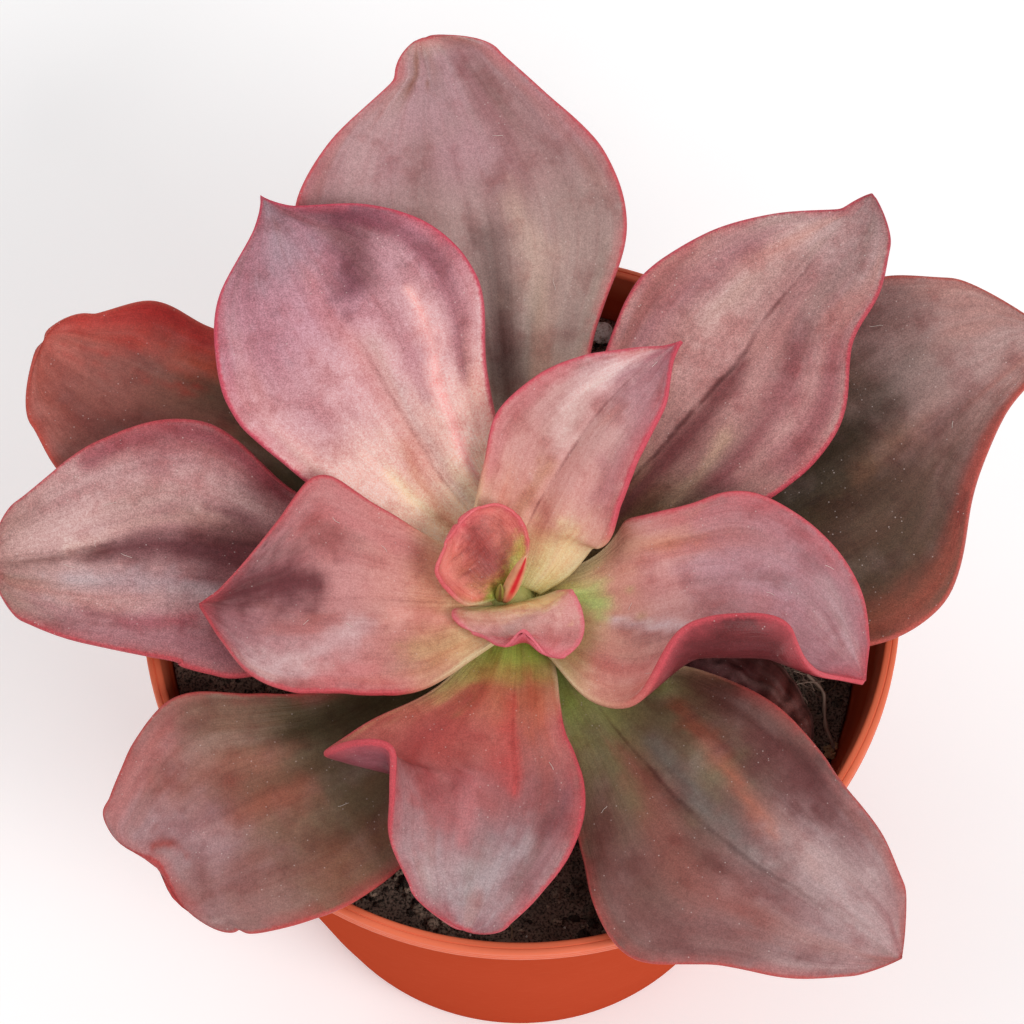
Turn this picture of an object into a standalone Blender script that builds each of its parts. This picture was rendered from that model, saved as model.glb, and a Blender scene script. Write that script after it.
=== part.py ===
"""Potted echeveria: an open rosette of broad, waved leaves on a short stem, in peat in a plain tapered pot.

The origin is the centre of the pot's flat base. +Z is up, and +Y points away from the side that the plant
is seen from. Sizes are in millimetres and angles in degrees, until add_object turns them into metres.
"""

import math
from typing import NamedTuple

import bmesh
import bpy
from mathutils import Vector, noise

MM = 0.001

# The pot: a thin moulded plant pot with a rolled lip and a flat base with drain holes.
POT_HEIGHT = 100.0
RIM_RADIUS = 60.0
BASE_RADIUS = 40.0
WALL = 1.2
BASE_THICKNESS = 2.0
BASE_CORNER = 1.5
LIP_HEIGHT = 3.0
LIP_STANDOUT = 0.9
LIP_ROUND = 0.7
DRAIN_HOLES = 6
DRAIN_RADIUS = 4.0
DRAIN_CIRCLE = 27.0
POT_SIDES = 64

# The soil stops well under the rim, and is higher at the left and at the back.
SOIL_LEVEL = 86.5
SOIL_SLOPE = (-0.10, 0.07)
CRUMB_HEIGHT = 1.7
CRUMB_SIZE = 7.0
SMALL_CRUMB_SIZE = 3.0
SOIL_RINGS = 11

# The stem stands a little in front of the pot's middle, with its foot in a hole in the soil.
STEM_AXIS = (-1.6, -5.7)
STEM_FOOT = 52.0
STEM_OUTLINE = (
    (4.6, 52.0), (5.8, 56.0), (6.6, 76.0), (6.9, 92.0),
    (6.4, 101.0), (5.6, 108.0), (4.3, 112.0), (2.6, 114.0),
)
STEM_TOP = 114.6
STEM_SIDES = 20

# Pieces that meet keep this gap.
GAP = 0.3

# Every leaf is a sheet of rows and columns, with its width and curl given at these places along it.
STATIONS = (0.0, 0.15, 0.3, 0.45, 0.6, 0.73, 0.85, 0.94)
ROWS = 15
COLUMNS = 10
ROW_CROWDING = 1.5
COLUMN_CROWDING = 1.2
SECTION_STEPS = 8
ROOT_THICKNESS = 2.6
BLADE_THICKNESS = 2.7
TIP_THICKNESS = 1.5
MARGIN_SHARE = 0.4


class Leaf(NamedTuple):
    """One leaf. Heights are up from the pot's rim.

    point: how the end closes, from 0.5 for round through 1 for straight to 1.5 for drawn out.
    rib: points (out, side, up) along the midrib, from inside the stem to the tip.
    left, right: half widths, measured round the section, at STATIONS.
    curl_left, curl_right: how steeply each margin is turned up there.
    sweep_left, sweep_right: how far forward each side lies, 10 mm from the rib, at the base and at the tip.
    wave_left, wave_right: (height, how many, where the first starts) of the waves in each margin.
    ridges: (place across from -1 to 1, height, spread) of ridges and furrows that run along the blade.
    notch: (depth, half width, lift) of the dent in a blunt end, where the tip is drawn back and up.
    """

    name: str
    azimuth: float
    colour: tuple
    point: float
    rib: tuple
    left: tuple
    right: tuple
    curl_left: tuple
    curl_right: tuple
    sweep_left: tuple = (0, 0)
    sweep_right: tuple = (0, 0)
    wave_left: tuple = (0, 1, 0)
    wave_right: tuple = (0, 1, 0)
    ridges: tuple = ()
    notch: tuple = (0, 1, 0)
    thickness: float = 1.0


HEART_RED = (0.42, 0.10, 0.11)
ROSE = (0.40, 0.16, 0.18)
MAUVE = (0.30, 0.13, 0.16)
BROWN_MAUVE = (0.19, 0.09, 0.10)
OLIVE_BROWN = (0.14, 0.08, 0.07)
DRY_BROWN = (0.07, 0.03, 0.03)

LEAVES = (
    Leaf(
        "leaf_01", 130, HEART_RED, point=0.5, thickness=0.6,
        rib=((1, 0, 13), (3, 0, 16), (6, 0, 18), (8.5, 0.3, 20), (11, 1, 22.5)),
        left=(2.5, 5.5, 8.5, 9.8, 10, 9, 7.3, 5), right=(2.5, 4, 6, 7.2, 7.8, 7.5, 6.4, 4.3),
        curl_left=(10, 30, 50, 60, 60, 60, 55, 50), curl_right=(10, 30, 50, 60, 60, 60, 60, 50),
        sweep_left=(-2, 6),
    ),
    Leaf(
        "leaf_02", 280, HEART_RED, point=0.5, thickness=0.6, notch=(3, 2.5, 3),
        rib=((1, 0, 12), (3, 0, 15), (5.5, 0, 17.2), (8.5, 0.2, 18.2), (11, 0, 18.8), (12.7, -0.3, 19)),
        left=(2.5, 5.5, 7.8, 9, 9.8, 9.8, 8.6, 6.5), right=(2.5, 6, 8.8, 9.8, 8.8, 7.2, 5.2, 3.4),
        curl_left=(10, 10, 10, 10, 5, 0, 0, 0), curl_right=(10, 20, 20, 20, 10, 0, 0, 0),
        sweep_left=(-11, 3), sweep_right=(-1.5, -3.5),
    ),
    Leaf(
        "leaf_03", 59, ROSE, point=1.3,
        rib=(
            (2, 0.5, 11), (5.5, 1.4, 14), (10.5, 3, 18), (18.5, 2.7, 23), (26, 1.4, 28), (35, -2, 33),
            (41.5, -5.5, 36),
        ),
        left=(4, 7.5, 9.8, 12.6, 11, 8, 4, 1), right=(4, 10, 13, 11.8, 10.5, 9, 6.5, 2),
        curl_left=(30, 30, 25, 20, 20, 15, 10, 10), curl_right=(20, 20, 20, 20, 20, 20, 15, 10),
        ridges=((0, -0.9, 0.22),),
    ),
    Leaf(
        "leaf_04", 180, ROSE, point=1.0,
        rib=((2, 0, 9.5), (3.5, 1, 12), (11, 2, 15.5), (23, 2.5, 18.5), (36, 3.5, 19.5), (48, 4, 19)),
        left=(4, 9.5, 15, 16.5, 16, 15.5, 12, 5.5), right=(4, 8, 11, 15, 19.5, 13, 6.5, 2),
        curl_left=(30, 20, 10, 10, 10, 15, 15, 10), curl_right=(30, 25, 25, 30, 35, 25, 20, 10),
        ridges=((0, -0.9, 0.22),),
    ),
    Leaf(
        "leaf_05", -15, ROSE, point=1.0,
        rib=((2, 0, 7.8), (5, 0.5, 10.6), (17, 1.5, 15.8), (28.5, 6, 19), (42, 8.5, 17), (56.5, 1.5, 10)),
        left=(4, 7.5, 13.2, 13.5, 16, 12, 8.5, 4.5), right=(4, 9.5, 17.5, 18.5, 20, 16.5, 10, 3.5),
        curl_left=(0, 0, 15, 20, 20, 10, 0, 0), curl_right=(20, 10, 20, 140, 172, 155, 115, 60),
        sweep_right=(-1.5, 1),
        ridges=((0, -0.9, 0.22),),
    ),
    Leaf(
        "leaf_06", 120, ROSE, point=1.4,
        rib=((2, -1, 6.8), (10, -2.5, 11), (24, 0, 17), (54, 1, 25), (74, 3, 27)),
        left=(4, 8, 14.5, 20, 24, 22, 16, 4.5), right=(4, 7.5, 11, 15, 20.5, 19.5, 12.5, 3),
        curl_left=(20, 0, 0, 5, 15, 20, 20, 10), curl_right=(20, 25, 30, 30, 25, 20, 20, 10),
        ridges=((0, -0.9, 0.22),),
    ),
    Leaf(
        "leaf_07", 266, ROSE, point=0.6,
        rib=((3, 1, 6), (9, 1.5, 9.5), (21.5, 2, 15), (33, 3.2, 17), (45, 0, 14.5), (54, -3, 9)),
        left=(4, 6, 7, 8, 10.8, 10.5, 8.3, 5.8), right=(3.5, 8, 14.5, 29.5, 26.5, 19.5, 15, 10.5),
        curl_left=(20, 10, 10, 10, 10, 10, 0, 0), curl_right=(20, 10, 5, 20, 108, 75, 30, 10),
        ridges=((0, -0.9, 0.22),),
    ),
    Leaf(
        "leaf_08", 50, MAUVE, point=0.8,
        rib=((3, 0, 4.5), (14, 0, 7), (30, -1, 11), (52, -2, 16), (68, -1.5, 19), (87.5, -1.7, 21)),
        left=(4, 7, 12, 16.5, 20, 17, 10, 2), right=(4, 7.5, 14, 20, 20.5, 14, 12, 8),
        curl_left=(20, 20, 20, 20, 20, 20, 10, 10), curl_right=(20, 20, 20, 20, 20, 20, 20, 10),
        ridges=((0, -0.9, 0.22),),
        wave_left=(0.8, 2.2, 0.1), wave_right=(0.8, 2, 0.6),
    ),
    Leaf(
        "leaf_09", 177, MAUVE, point=0.7,
        rib=((3, -1, 3.4), (20, -6, 5), (51, -10, 8.5), (70, -5, 10), (82, -3, 9)),
        left=(4, 10, 17, 24, 24, 22, 16, 11), right=(4, 5.5, 7.5, 10, 18, 17, 13.5, 9.5),
        curl_left=(20, 10, 10, 15, 20, 20, 15, 10), curl_right=(20, 20, 20, 25, 30, 30, 20, 10),
        ridges=((0, -0.9, 0.22),),
        wave_left=(0.8, 2, 0.3), wave_right=(0.9, 2.3, 0),
    ),
    Leaf(
        "leaf_10", -45, BROWN_MAUVE, point=0.9,
        rib=((3, 0, 2), (8, 2, 4), (23, -2, 7), (43, -5, 11), (56, -4, 10.5), (70, -1, 8), (82, 2, 5)),
        left=(4, 9, 16.5, 21, 21.5, 18.5, 15, 10), right=(4, 7, 10, 17, 24, 16.5, 12, 6.5),
        curl_left=(20, 10, 5, 5, 0, 0, 0, 0), curl_right=(20, 0, 0, -15, -25, -20, -10, 0),
        ridges=((0, -0.9, 0.22),),
        wave_left=(1, 2, 0.5), wave_right=(0.8, 2, 0),
    ),
    Leaf(
        "leaf_11", 97, BROWN_MAUVE, point=0.6,
        rib=((3, 0, 0), (20, -1, 5), (35, -2, 10), (54, -1.5, 16), (73, 0, 21), (93, 3, 25)),
        left=(4, 8.5, 14.5, 21, 26, 27.5, 19.5, 6), right=(4, 7.5, 12, 17, 24.5, 23.5, 16.5, 11.5),
        curl_left=(20, 20, 20, 20, 20, 20, 20, 10), curl_right=(20, 20, 20, 20, 20, 20, 20, 10),
        ridges=((0, -0.9, 0.22),),
        wave_left=(1, 2.2, 0.2), wave_right=(1, 2, 0.7),
    ),
    Leaf(
        "leaf_12", 218, OLIVE_BROWN, point=0.4, notch=(2.8, 4.5, 0.5),
        rib=((3, 0, -1), (9, 0.5, 0), (33, 2, 3), (52, -0.8, 4.5), (64, -1.8, 3.5), (70, -1.2, 1)),
        left=(4, 10, 15.5, 19.5, 22, 21.8, 19.5, 16.5), right=(4, 7, 9.5, 11.5, 15.3, 20.5, 18, 13),
        curl_left=(20, 10, 5, 0, 0, 0, 0, 0), curl_right=(20, 15, 15, 15, 15, 10, 0, 0),
        ridges=((0, -0.9, 0.22),),
        wave_left=(0.8, 2.5, 0.4), wave_right=(0.8, 2, 0.1),
    ),
    Leaf(
        "leaf_13", 27, OLIVE_BROWN, point=0.8,
        rib=((3, 0, -2.4), (20, 0, 1), (44, -4, 4), (65, -4, 7), (97, 1.5, 12)),
        left=(4, 8, 15, 22, 27, 27, 24.5, 17), right=(4, 10.5, 18, 25, 25.5, 13, 6, 4),
        curl_left=(20, 20, 20, 15, 15, 15, 15, 15), curl_right=(20, 15, 10, 10, 10, 10, 10, 10),
        ridges=((0, -0.9, 0.22),),
        wave_left=(1.2, 2, 0.2), wave_right=(1.2, 2.3, 0.5),
    ),
    Leaf(
        "leaf_14", 150, OLIVE_BROWN, point=0.6,
        rib=((3, 0, -3.5), (17, -6, -1), (44, -9, 2.5), (70, -5, 5), (88, -3, 8)),
        left=(4, 7, 11, 15.5, 19, 20.5, 20.5, 15), right=(4, 6, 8.5, 10.5, 12.5, 13, 13.5, 7),
        curl_left=(20, 10, 10, 10, 10, 20, 20, 20), curl_right=(20, 10, 10, 10, 20, 30, 30, 30),
        ridges=((0, -0.9, 0.22),),
        wave_left=(0.8, 2, 0.4), wave_right=(0.8, 2, 0),
    ),
    Leaf(
        "dried_leaf", -14, DRY_BROWN, point=0.8, thickness=0.45,
        rib=((3, 0, -7.5), (14, 1, -7), (28, 0, -9), (40, 0, -11.5), (50, -3, -12)),
        left=(3, 3.5, 6, 9, 11, 10, 7, 4), right=(3, 3.5, 6, 8, 9, 8, 6, 3),
        curl_left=(20, 60, 70, 60, 40, 60, 70, 50), curl_right=(20, 40, 60, 70, 70, 60, 60, 50),
        wave_left=(1.2, 2.5, 0.2), wave_right=(1.2, 2, 0.6),
    ),
)


def clear_scene():
    for obj in list(bpy.data.objects):
        bpy.data.objects.remove(obj, do_unlink=True)


def make_material(name, colour, roughness):
    material = bpy.data.materials.new(name)
    material.use_nodes = True
    shader = material.node_tree.nodes["Principled BSDF"]
    shader.inputs["Base Color"].default_value = (*colour, 1)
    shader.inputs["Roughness"].default_value = roughness
    shader.inputs["Metallic"].default_value = 0.0
    return material


def add_object(name, bm, material=None):
    """Turn a bmesh in millimetres into an object in metres."""
    bmesh.ops.scale(bm, vec=(MM, MM, MM), verts=bm.verts)
    mesh = bpy.data.meshes.new(name)
    bm.to_mesh(mesh)
    bm.free()
    mesh.shade_smooth()
    mesh.set_sharp_from_angle(angle=math.radians(40))
    if material:
        mesh.materials.append(material)
    obj = bpy.data.objects.new(name, mesh)
    bpy.context.scene.collection.objects.link(obj)
    return obj


def hide_cutter(obj):
    obj.hide_render = True
    obj.display_type = "WIRE"


def cut_with(obj, cutter, name):
    cut = obj.modifiers.new(name, "BOOLEAN")
    cut.operation = "DIFFERENCE"
    cut.solver = "EXACT"
    cut.object = cutter


def turned(outline, sides):
    """A solid turned about the Z axis, from points (radius, height) that start and end on the axis."""
    bm = bmesh.new()
    verts = [bm.verts.new((radius, 0, height)) for radius, height in outline]
    edges = [bm.edges.new(pair) for pair in zip(verts, verts[1:])]
    bmesh.ops.spin(
        bm, geom=verts + edges, cent=(0, 0, 0), axis=(0, 0, 1), dvec=(0, 0, 0),
        angle=math.tau, steps=sides, use_merge=True,
    )
    bmesh.ops.remove_doubles(bm, verts=bm.verts, dist=0.01)
    bmesh.ops.recalc_face_normals(bm, faces=bm.faces)
    return bm


def arc(centre, radius, start, end, steps):
    """Points of a round corner in an outline."""
    angles = [math.radians(start + (end - start) * k / steps) for k in range(steps + 1)]
    return [(centre[0] + radius * math.cos(a), centre[1] + radius * math.sin(a)) for a in angles]


def wall_radius(height):
    """The pot's outer radius under its lip."""
    top = RIM_RADIUS - LIP_STANDOUT
    return BASE_RADIUS + (top - BASE_RADIUS) * height / POT_HEIGHT


def make_pot():
    lip_low = POT_HEIGHT - LIP_HEIGHT
    lip_inner = wall_radius(POT_HEIGHT) - WALL
    outline = [(0, 0)]
    outline += arc((BASE_RADIUS - BASE_CORNER, BASE_CORNER), BASE_CORNER, -90, 0, 2)
    outline += [(wall_radius(lip_low - 0.6), lip_low - 0.6)]
    outline += arc((RIM_RADIUS - LIP_ROUND, lip_low + LIP_ROUND), LIP_ROUND, -60, 0, 2)
    outline += arc((RIM_RADIUS - LIP_ROUND, POT_HEIGHT - LIP_ROUND), LIP_ROUND, 0, 90, 3)
    outline += arc((lip_inner + LIP_ROUND, POT_HEIGHT - LIP_ROUND), LIP_ROUND, 90, 180, 3)
    outline += [(wall_radius(lip_low) - WALL, lip_low), (wall_radius(BASE_THICKNESS) - WALL, BASE_THICKNESS)]
    outline += [(0, BASE_THICKNESS)]
    plastic = make_material("terracotta_plastic", (0.52, 0.11, 0.04), 0.35)
    pot = add_object("pot", turned(outline, POT_SIDES), plastic)
    for k in range(DRAIN_HOLES):
        angle = math.tau * (k + 0.5) / DRAIN_HOLES
        bm = bmesh.new()
        bmesh.ops.create_cone(
            bm, cap_ends=True, segments=12, radius1=DRAIN_RADIUS, radius2=DRAIN_RADIUS,
            depth=BASE_THICKNESS * 3,
        )
        place = (DRAIN_CIRCLE * math.cos(angle), DRAIN_CIRCLE * math.sin(angle), BASE_THICKNESS / 2)
        bmesh.ops.translate(bm, verts=bm.verts, vec=place)
        hole = add_object(f"drain_{k + 1}", bm)
        hide_cutter(hole)
        cut_with(pot, hole, f"drain {k + 1}")


def soil_plane(x, y):
    return SOIL_LEVEL + SOIL_SLOPE[0] * x + SOIL_SLOPE[1] * y


def soil_height(x, y):
    """The plane with large crumbs and smaller ones on it."""
    large = noise.noise(Vector((x, y, 0)) / CRUMB_SIZE)
    small = noise.noise(Vector((x, y, 50)) / SMALL_CRUMB_SIZE)
    return soil_plane(x, y) + CRUMB_HEIGHT * (large + small / 2)


def soil_wall(height):
    return wall_radius(height) - WALL - GAP


def make_soil():
    """Soil from the pot's floor to its uneven top, with a plain round hole for the stem's foot."""
    hole_radius = stem_radius(SOIL_LEVEL) + GAP
    hole_floor = STEM_FOOT - GAP
    floor = BASE_THICKNESS + GAP
    bm = bmesh.new()
    bmesh.ops.create_grid(bm, x_segments=POT_SIDES, y_segments=SOIL_RINGS, size=1.0)
    for vert in bm.verts:
        angle = math.pi * vert.co.x
        share = (vert.co.y + 1) / 2
        spread = share ** 0.8
        toward = Vector((math.cos(angle), math.sin(angle)))
        inner = Vector((STEM_AXIS[0], STEM_AXIS[1])) + hole_radius * toward
        outer = soil_wall(soil_plane(*(soil_wall(SOIL_LEVEL) * toward))) * toward
        x, y = inner.lerp(outer, spread)
        crumbs = (soil_height(x, y) - soil_plane(x, y)) * (1 - share ** 6)
        vert.co = (x, y, soil_plane(x, y) + crumbs)
    bmesh.ops.remove_doubles(bm, verts=bm.verts, dist=0.01)
    rims = [edge for edge in bm.edges if edge.is_boundary]
    grown = bmesh.ops.extrude_edge_only(bm, edges=rims)["geom"]
    low = [g for g in grown if isinstance(g, bmesh.types.BMVert)]
    for vert in low:
        away = Vector((vert.co.x - STEM_AXIS[0], vert.co.y - STEM_AXIS[1])).length
        if away < hole_radius + 1:
            vert.co.z = hole_floor
        else:
            reach = Vector((vert.co.x, vert.co.y)).length
            vert.co.x *= soil_wall(floor) / reach
            vert.co.y *= soil_wall(floor) / reach
            vert.co.z = floor
    bmesh.ops.holes_fill(bm, edges=[edge for edge in bm.edges if edge.is_boundary])
    bmesh.ops.triangulate(bm, faces=bm.faces)
    bmesh.ops.recalc_face_normals(bm, faces=bm.faces)
    add_object("soil", bm, make_material("peat_soil", (0.018, 0.012, 0.010), 0.95))


def stem_radius(height):
    return smooth_through([p[1] for p in STEM_OUTLINE], [p[0] for p in STEM_OUTLINE], height)


def stem_outline(gap):
    """The stem's outline, or that of the space it keeps clear."""
    steps = [(radius + gap, height) for radius, height in STEM_OUTLINE]
    return [(0, STEM_FOOT - gap), *steps, (0, STEM_TOP + gap)]


def make_stem():
    """The stem, and the cutter that keeps the leaves' bases clear of it."""
    green = make_material("stem_green", (0.24, 0.26, 0.09), 0.6)
    stem = add_object("stem", turned(stem_outline(0), STEM_SIDES), green)
    clearance = add_object("stem_clearance", turned(stem_outline(GAP), STEM_SIDES))
    hide_cutter(clearance)
    for obj in (stem, clearance):
        obj.location = (STEM_AXIS[0] * MM, STEM_AXIS[1] * MM, 0)
    return clearance


def smooth_through(places, values, at):
    """The value, at a place, of a smooth curve through values given at places."""
    last = len(places) - 1
    at = min(max(at, places[0]), places[last])
    k = max(i for i in range(last) if places[i] <= at)

    def slope(i):
        low, high = max(i - 1, 0), min(i + 1, last)
        return (values[high] - values[low]) / (places[high] - places[low])

    span = places[k + 1] - places[k]
    s = (at - places[k]) / span
    ends = values[k] * (1 + 2 * s) * (1 - s) ** 2 + values[k + 1] * s * s * (3 - 2 * s)
    turns = slope(k) * s * (1 - s) ** 2 - slope(k + 1) * s * s * (1 - s)
    return ends + turns * span


def rib_places(rib):
    """How far along the rib each of its points is, from 0 to 1."""
    far = [0.0]
    for a, b in zip(rib, rib[1:]):
        far.append(far[-1] + math.dist(a, b))
    return [f / far[-1] for f in far]


def rib_point(rib, places, t):
    return Vector([smooth_through(places, [p[axis] for p in rib], t) for axis in range(3)])


def half_width(widths, point, t):
    """Half the blade's width at t. Past the last station the end closes to the tip."""
    last = STATIONS[-1]
    if t <= last:
        return smooth_through(STATIONS, widths, t)
    s = (t - last) / (1 - last)
    if point >= 1:
        return widths[-1] * (1 - s) ** point
    return widths[-1] * max(1 - s ** (1 / point), 0) ** point


def leaf_point(leaf, places, t, v):
    """The upper face, t along the leaf and v across it, from -1 at the right margin to 1 at the left."""
    step = 0.02
    ahead = rib_point(leaf.rib, places, min(t + step, 1)) - rib_point(leaf.rib, places, max(t - step, 0))
    ahead.normalize()
    aside = Vector((-ahead.y, ahead.x, 0)).normalized()
    above = ahead.cross(aside)
    if v >= 0:
        side, widths, curls = 1, leaf.left, leaf.curl_left
        sweep, wave = leaf.sweep_left, leaf.wave_left
    else:
        side, widths, curls = -1, leaf.right, leaf.curl_right
        sweep, wave = leaf.sweep_right, leaf.wave_right
    edge = math.radians(smooth_through(STATIONS, curls, t))
    reach = half_width(widths, leaf.point, t) * abs(v)
    across = rise = 0.0
    for k in range(SECTION_STEPS):
        slope = edge * (abs(v) * (k + 0.5) / SECTION_STEPS) ** 2
        across += reach / SECTION_STEPS * math.cos(slope)
        rise += reach / SECTION_STEPS * math.sin(slope)
    along = math.sin(math.pi * min(1.15 * t, 1))
    rise += wave[0] * abs(v) ** 2.5 * math.sin(math.tau * (wave[1] * t + wave[2])) * along
    for place, height, spread in leaf.ridges:
        rise += height * math.exp(-(((v - place) / spread) ** 2)) * along
    depth, half, lift = leaf.notch
    dent = math.exp(-((reach / half) ** 2)) * t ** 8
    forward = (sweep[0] + (sweep[1] - sweep[0]) * t) * (reach / 10) ** 2 - depth * dent
    rise += lift * dent
    return rib_point(leaf.rib, places, t) + aside * side * across + above * rise + ahead * forward


def leaf_thickness(t, v):
    along = smooth_through((0.0, 0.5, 1.0), (ROOT_THICKNESS, BLADE_THICKNESS, TIP_THICKNESS), t)
    return along * (1 - (1 - MARGIN_SHARE) * abs(v) ** 3)


def make_leaf(leaf, clearance):
    """A sheet bent to the leaf's upper face and thickened downwards, its base cut to fit round the stem."""
    places = rib_places(leaf.rib)
    bm = bmesh.new()
    bmesh.ops.create_grid(bm, x_segments=ROWS, y_segments=COLUMNS, size=1.0)
    group = bm.verts.layers.deform.verify()
    turn = math.radians(leaf.azimuth)
    for vert in bm.verts:
        t = 1 - (1 - (vert.co.x + 1) / 2) ** ROW_CROWDING
        v = math.sin(COLUMN_CROWDING * vert.co.y) / math.sin(COLUMN_CROWDING)
        vert[group][0] = leaf_thickness(t, v) * leaf.thickness / ROOT_THICKNESS
        out, aside, up = leaf_point(leaf, places, t, v)
        vert.co.x = STEM_AXIS[0] + out * math.cos(turn) - aside * math.sin(turn)
        vert.co.y = STEM_AXIS[1] + out * math.sin(turn) + aside * math.cos(turn)
        vert.co.z = POT_HEIGHT + up
    bmesh.ops.remove_doubles(bm, verts=bm.verts, dist=0.02)
    bmesh.ops.triangulate(bm, faces=bm.faces)
    obj = add_object(leaf.name, bm, make_material(f"{leaf.name}_skin", leaf.colour, 0.6))
    obj.vertex_groups.new(name="thickness")
    thicken = obj.modifiers.new("thickness", "SOLIDIFY")
    thicken.thickness = ROOT_THICKNESS * MM
    thicken.offset = -1
    thicken.vertex_group = "thickness"
    thicken.use_even_offset = False
    cut_with(obj, clearance, "stem")
    return obj


def make_bud(name, foot, tip, radius):
    """A small closed leaf that stands in the heart on the stem's tip."""
    length = math.dist(foot, tip)
    outline = [
        (0, 0), (radius * 0.7, length * 0.04), (radius, length * 0.35), (radius * 0.75, length * 0.7),
        (0, length),
    ]
    bm = turned(outline, 8)
    lean = Vector((0, 0, 1)).rotation_difference(Vector(tip) - Vector(foot)).to_matrix()
    bmesh.ops.rotate(bm, cent=(0, 0, 0), matrix=lean, verts=bm.verts)
    bmesh.ops.translate(bm, verts=bm.verts, vec=(STEM_AXIS[0] + foot[0], STEM_AXIS[1] + foot[1], foot[2]))
    add_object(name, bm, make_material(f"{name}_skin", HEART_RED, 0.5))


def make_perlite(place, size):
    """A white grain that lies on the soil."""
    bm = bmesh.new()
    bmesh.ops.create_icosphere(bm, subdivisions=2, radius=1.0)
    for vert in bm.verts:
        vert.co *= 1 + 0.25 * noise.noise(vert.co * 1.7)
    bmesh.ops.scale(bm, vec=size, verts=bm.verts)
    spots = [(place[0] + vert.co.x, place[1] + vert.co.y, vert.co.z) for vert in bm.verts if vert.co.z < 0]
    rest = max(soil_height(x, y) - z for x, y, z in spots)
    bmesh.ops.translate(bm, verts=bm.verts, vec=(place[0], place[1], rest + GAP))
    add_object("perlite_grain", bm, make_material("perlite", (0.75, 0.73, 0.68), 0.85))


clear_scene()
make_pot()
make_soil()
make_perlite((13.5, 50.0), (2.2, 1.8, 1.5))
stem_clearance = make_stem()
for leaf_record in LEAVES:
    make_leaf(leaf_record, stem_clearance)
make_bud("heart_bud_1", (0.6, 0.3, 114.9), (2.4, 2.2, 123.5), 1.4)
make_bud("heart_bud_2", (-1.2, -0.6, 115.2), (-1.5, -0.6, 118.2), 0.8)
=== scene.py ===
"""The finished look of a potted echeveria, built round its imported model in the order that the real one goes
together: pot, peat, stem, and the leaves from the lowest to the heart.

Sizes are in millimetres and angles in degrees, until settle turns a piece into metres.
"""

import math
import random
from typing import NamedTuple

import bmesh
import bpy
from mathutils import Matrix, Vector, noise


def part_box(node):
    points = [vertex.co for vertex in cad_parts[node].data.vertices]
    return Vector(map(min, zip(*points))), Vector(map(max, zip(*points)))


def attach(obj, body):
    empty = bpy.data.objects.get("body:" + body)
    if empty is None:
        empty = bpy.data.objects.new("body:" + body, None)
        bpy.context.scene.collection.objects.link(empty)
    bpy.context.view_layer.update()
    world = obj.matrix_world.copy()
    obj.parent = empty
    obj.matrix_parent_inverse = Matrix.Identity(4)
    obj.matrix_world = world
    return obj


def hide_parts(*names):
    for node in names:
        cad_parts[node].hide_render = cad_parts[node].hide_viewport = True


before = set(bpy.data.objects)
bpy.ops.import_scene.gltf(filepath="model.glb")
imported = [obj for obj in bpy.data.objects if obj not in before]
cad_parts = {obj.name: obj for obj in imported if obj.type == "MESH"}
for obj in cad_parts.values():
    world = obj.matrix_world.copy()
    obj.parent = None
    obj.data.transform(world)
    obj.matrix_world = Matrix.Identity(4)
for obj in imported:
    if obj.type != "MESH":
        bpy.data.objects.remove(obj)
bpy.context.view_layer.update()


# The pot is a thin plant pot, moulded in one piece of terracotta-coloured polypropylene. Its wall tapers to
# a flat floor with six drain holes, and ends at the top in a thicker lip with the fine rings that the mould
# left.
MM = 0.001
POT_HEIGHT = 100.0
RIM_RADIUS = 60.0
BASE_RADIUS = 40.0
WALL = 1.2
FLOOR_THICKNESS = 2.0
BASE_CORNER = 1.5
LIP_HEIGHT = 3.0
LIP_STANDOUT = 0.9
LIP_ROUND = 0.6
LIP_FILLET = 0.6
LIP_EDGE = 0.4
RING_DEPTH = 0.14
RING_WIDTH = 0.3
RING_HEIGHTS = (1.0, 1.8)
TOP_RING_INSET = 0.95
WALL_HEIGHTS = (12, 30, 60, 85)
INNER_HEIGHTS = (60, 30, 4)
DRAIN_HOLES = 6
DRAIN_RADIUS = 4.0
DRAIN_CIRCLE = 27.0
POT_SIDES = 192
SHARP_CORNER = 35


def dye(red, green, blue):
    """A colour given as on a paint card, from 0 to 255, as the light it reflects."""
    return tuple(((c / 255 + 0.055) / 1.055) ** 2.4 for c in (red, green, blue)) + (1.0,)


def feed(tree, socket, value):
    """Set a shader socket, or link it to the one that feeds it."""
    if isinstance(value, bpy.types.NodeSocket):
        tree.links.new(value, socket)
    else:
        socket.default_value = value


def shader_node(tree, kind, inputs, **choices):
    node = tree.nodes.new("ShaderNode" + kind)
    for choice, value in choices.items():
        setattr(node, choice, value)
    for name, value in inputs.items():
        feed(tree, node.inputs[name], value)
    return node


def mottle(tree, where, scale, detail=2.0, roughness=0.5):
    """Soft random patches, about 1 / scale metres across."""
    inputs = {"Vector": where, "Scale": scale, "Detail": detail, "Roughness": roughness}
    return shader_node(tree, "TexNoise", inputs).outputs[0]


def between(tree, value, low, high, at_low=0.0, at_high=1.0):
    """A value that moves smoothly from at_low to at_high as another goes from low to high."""
    inputs = {"Value": value, "From Min": low, "From Max": high, "To Min": at_low, "To Max": at_high}
    return shader_node(tree, "MapRange", inputs, interpolation_type="SMOOTHSTEP").outputs[0]


def blended(tree, share, under, over, mode="MIX"):
    node = shader_node(tree, "Mix", {}, data_type="RGBA", blend_type=mode)
    for place, value in ((0, share), (6, under), (7, over)):
        feed(tree, node.inputs[place], value)
    return node.outputs[2]


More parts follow.
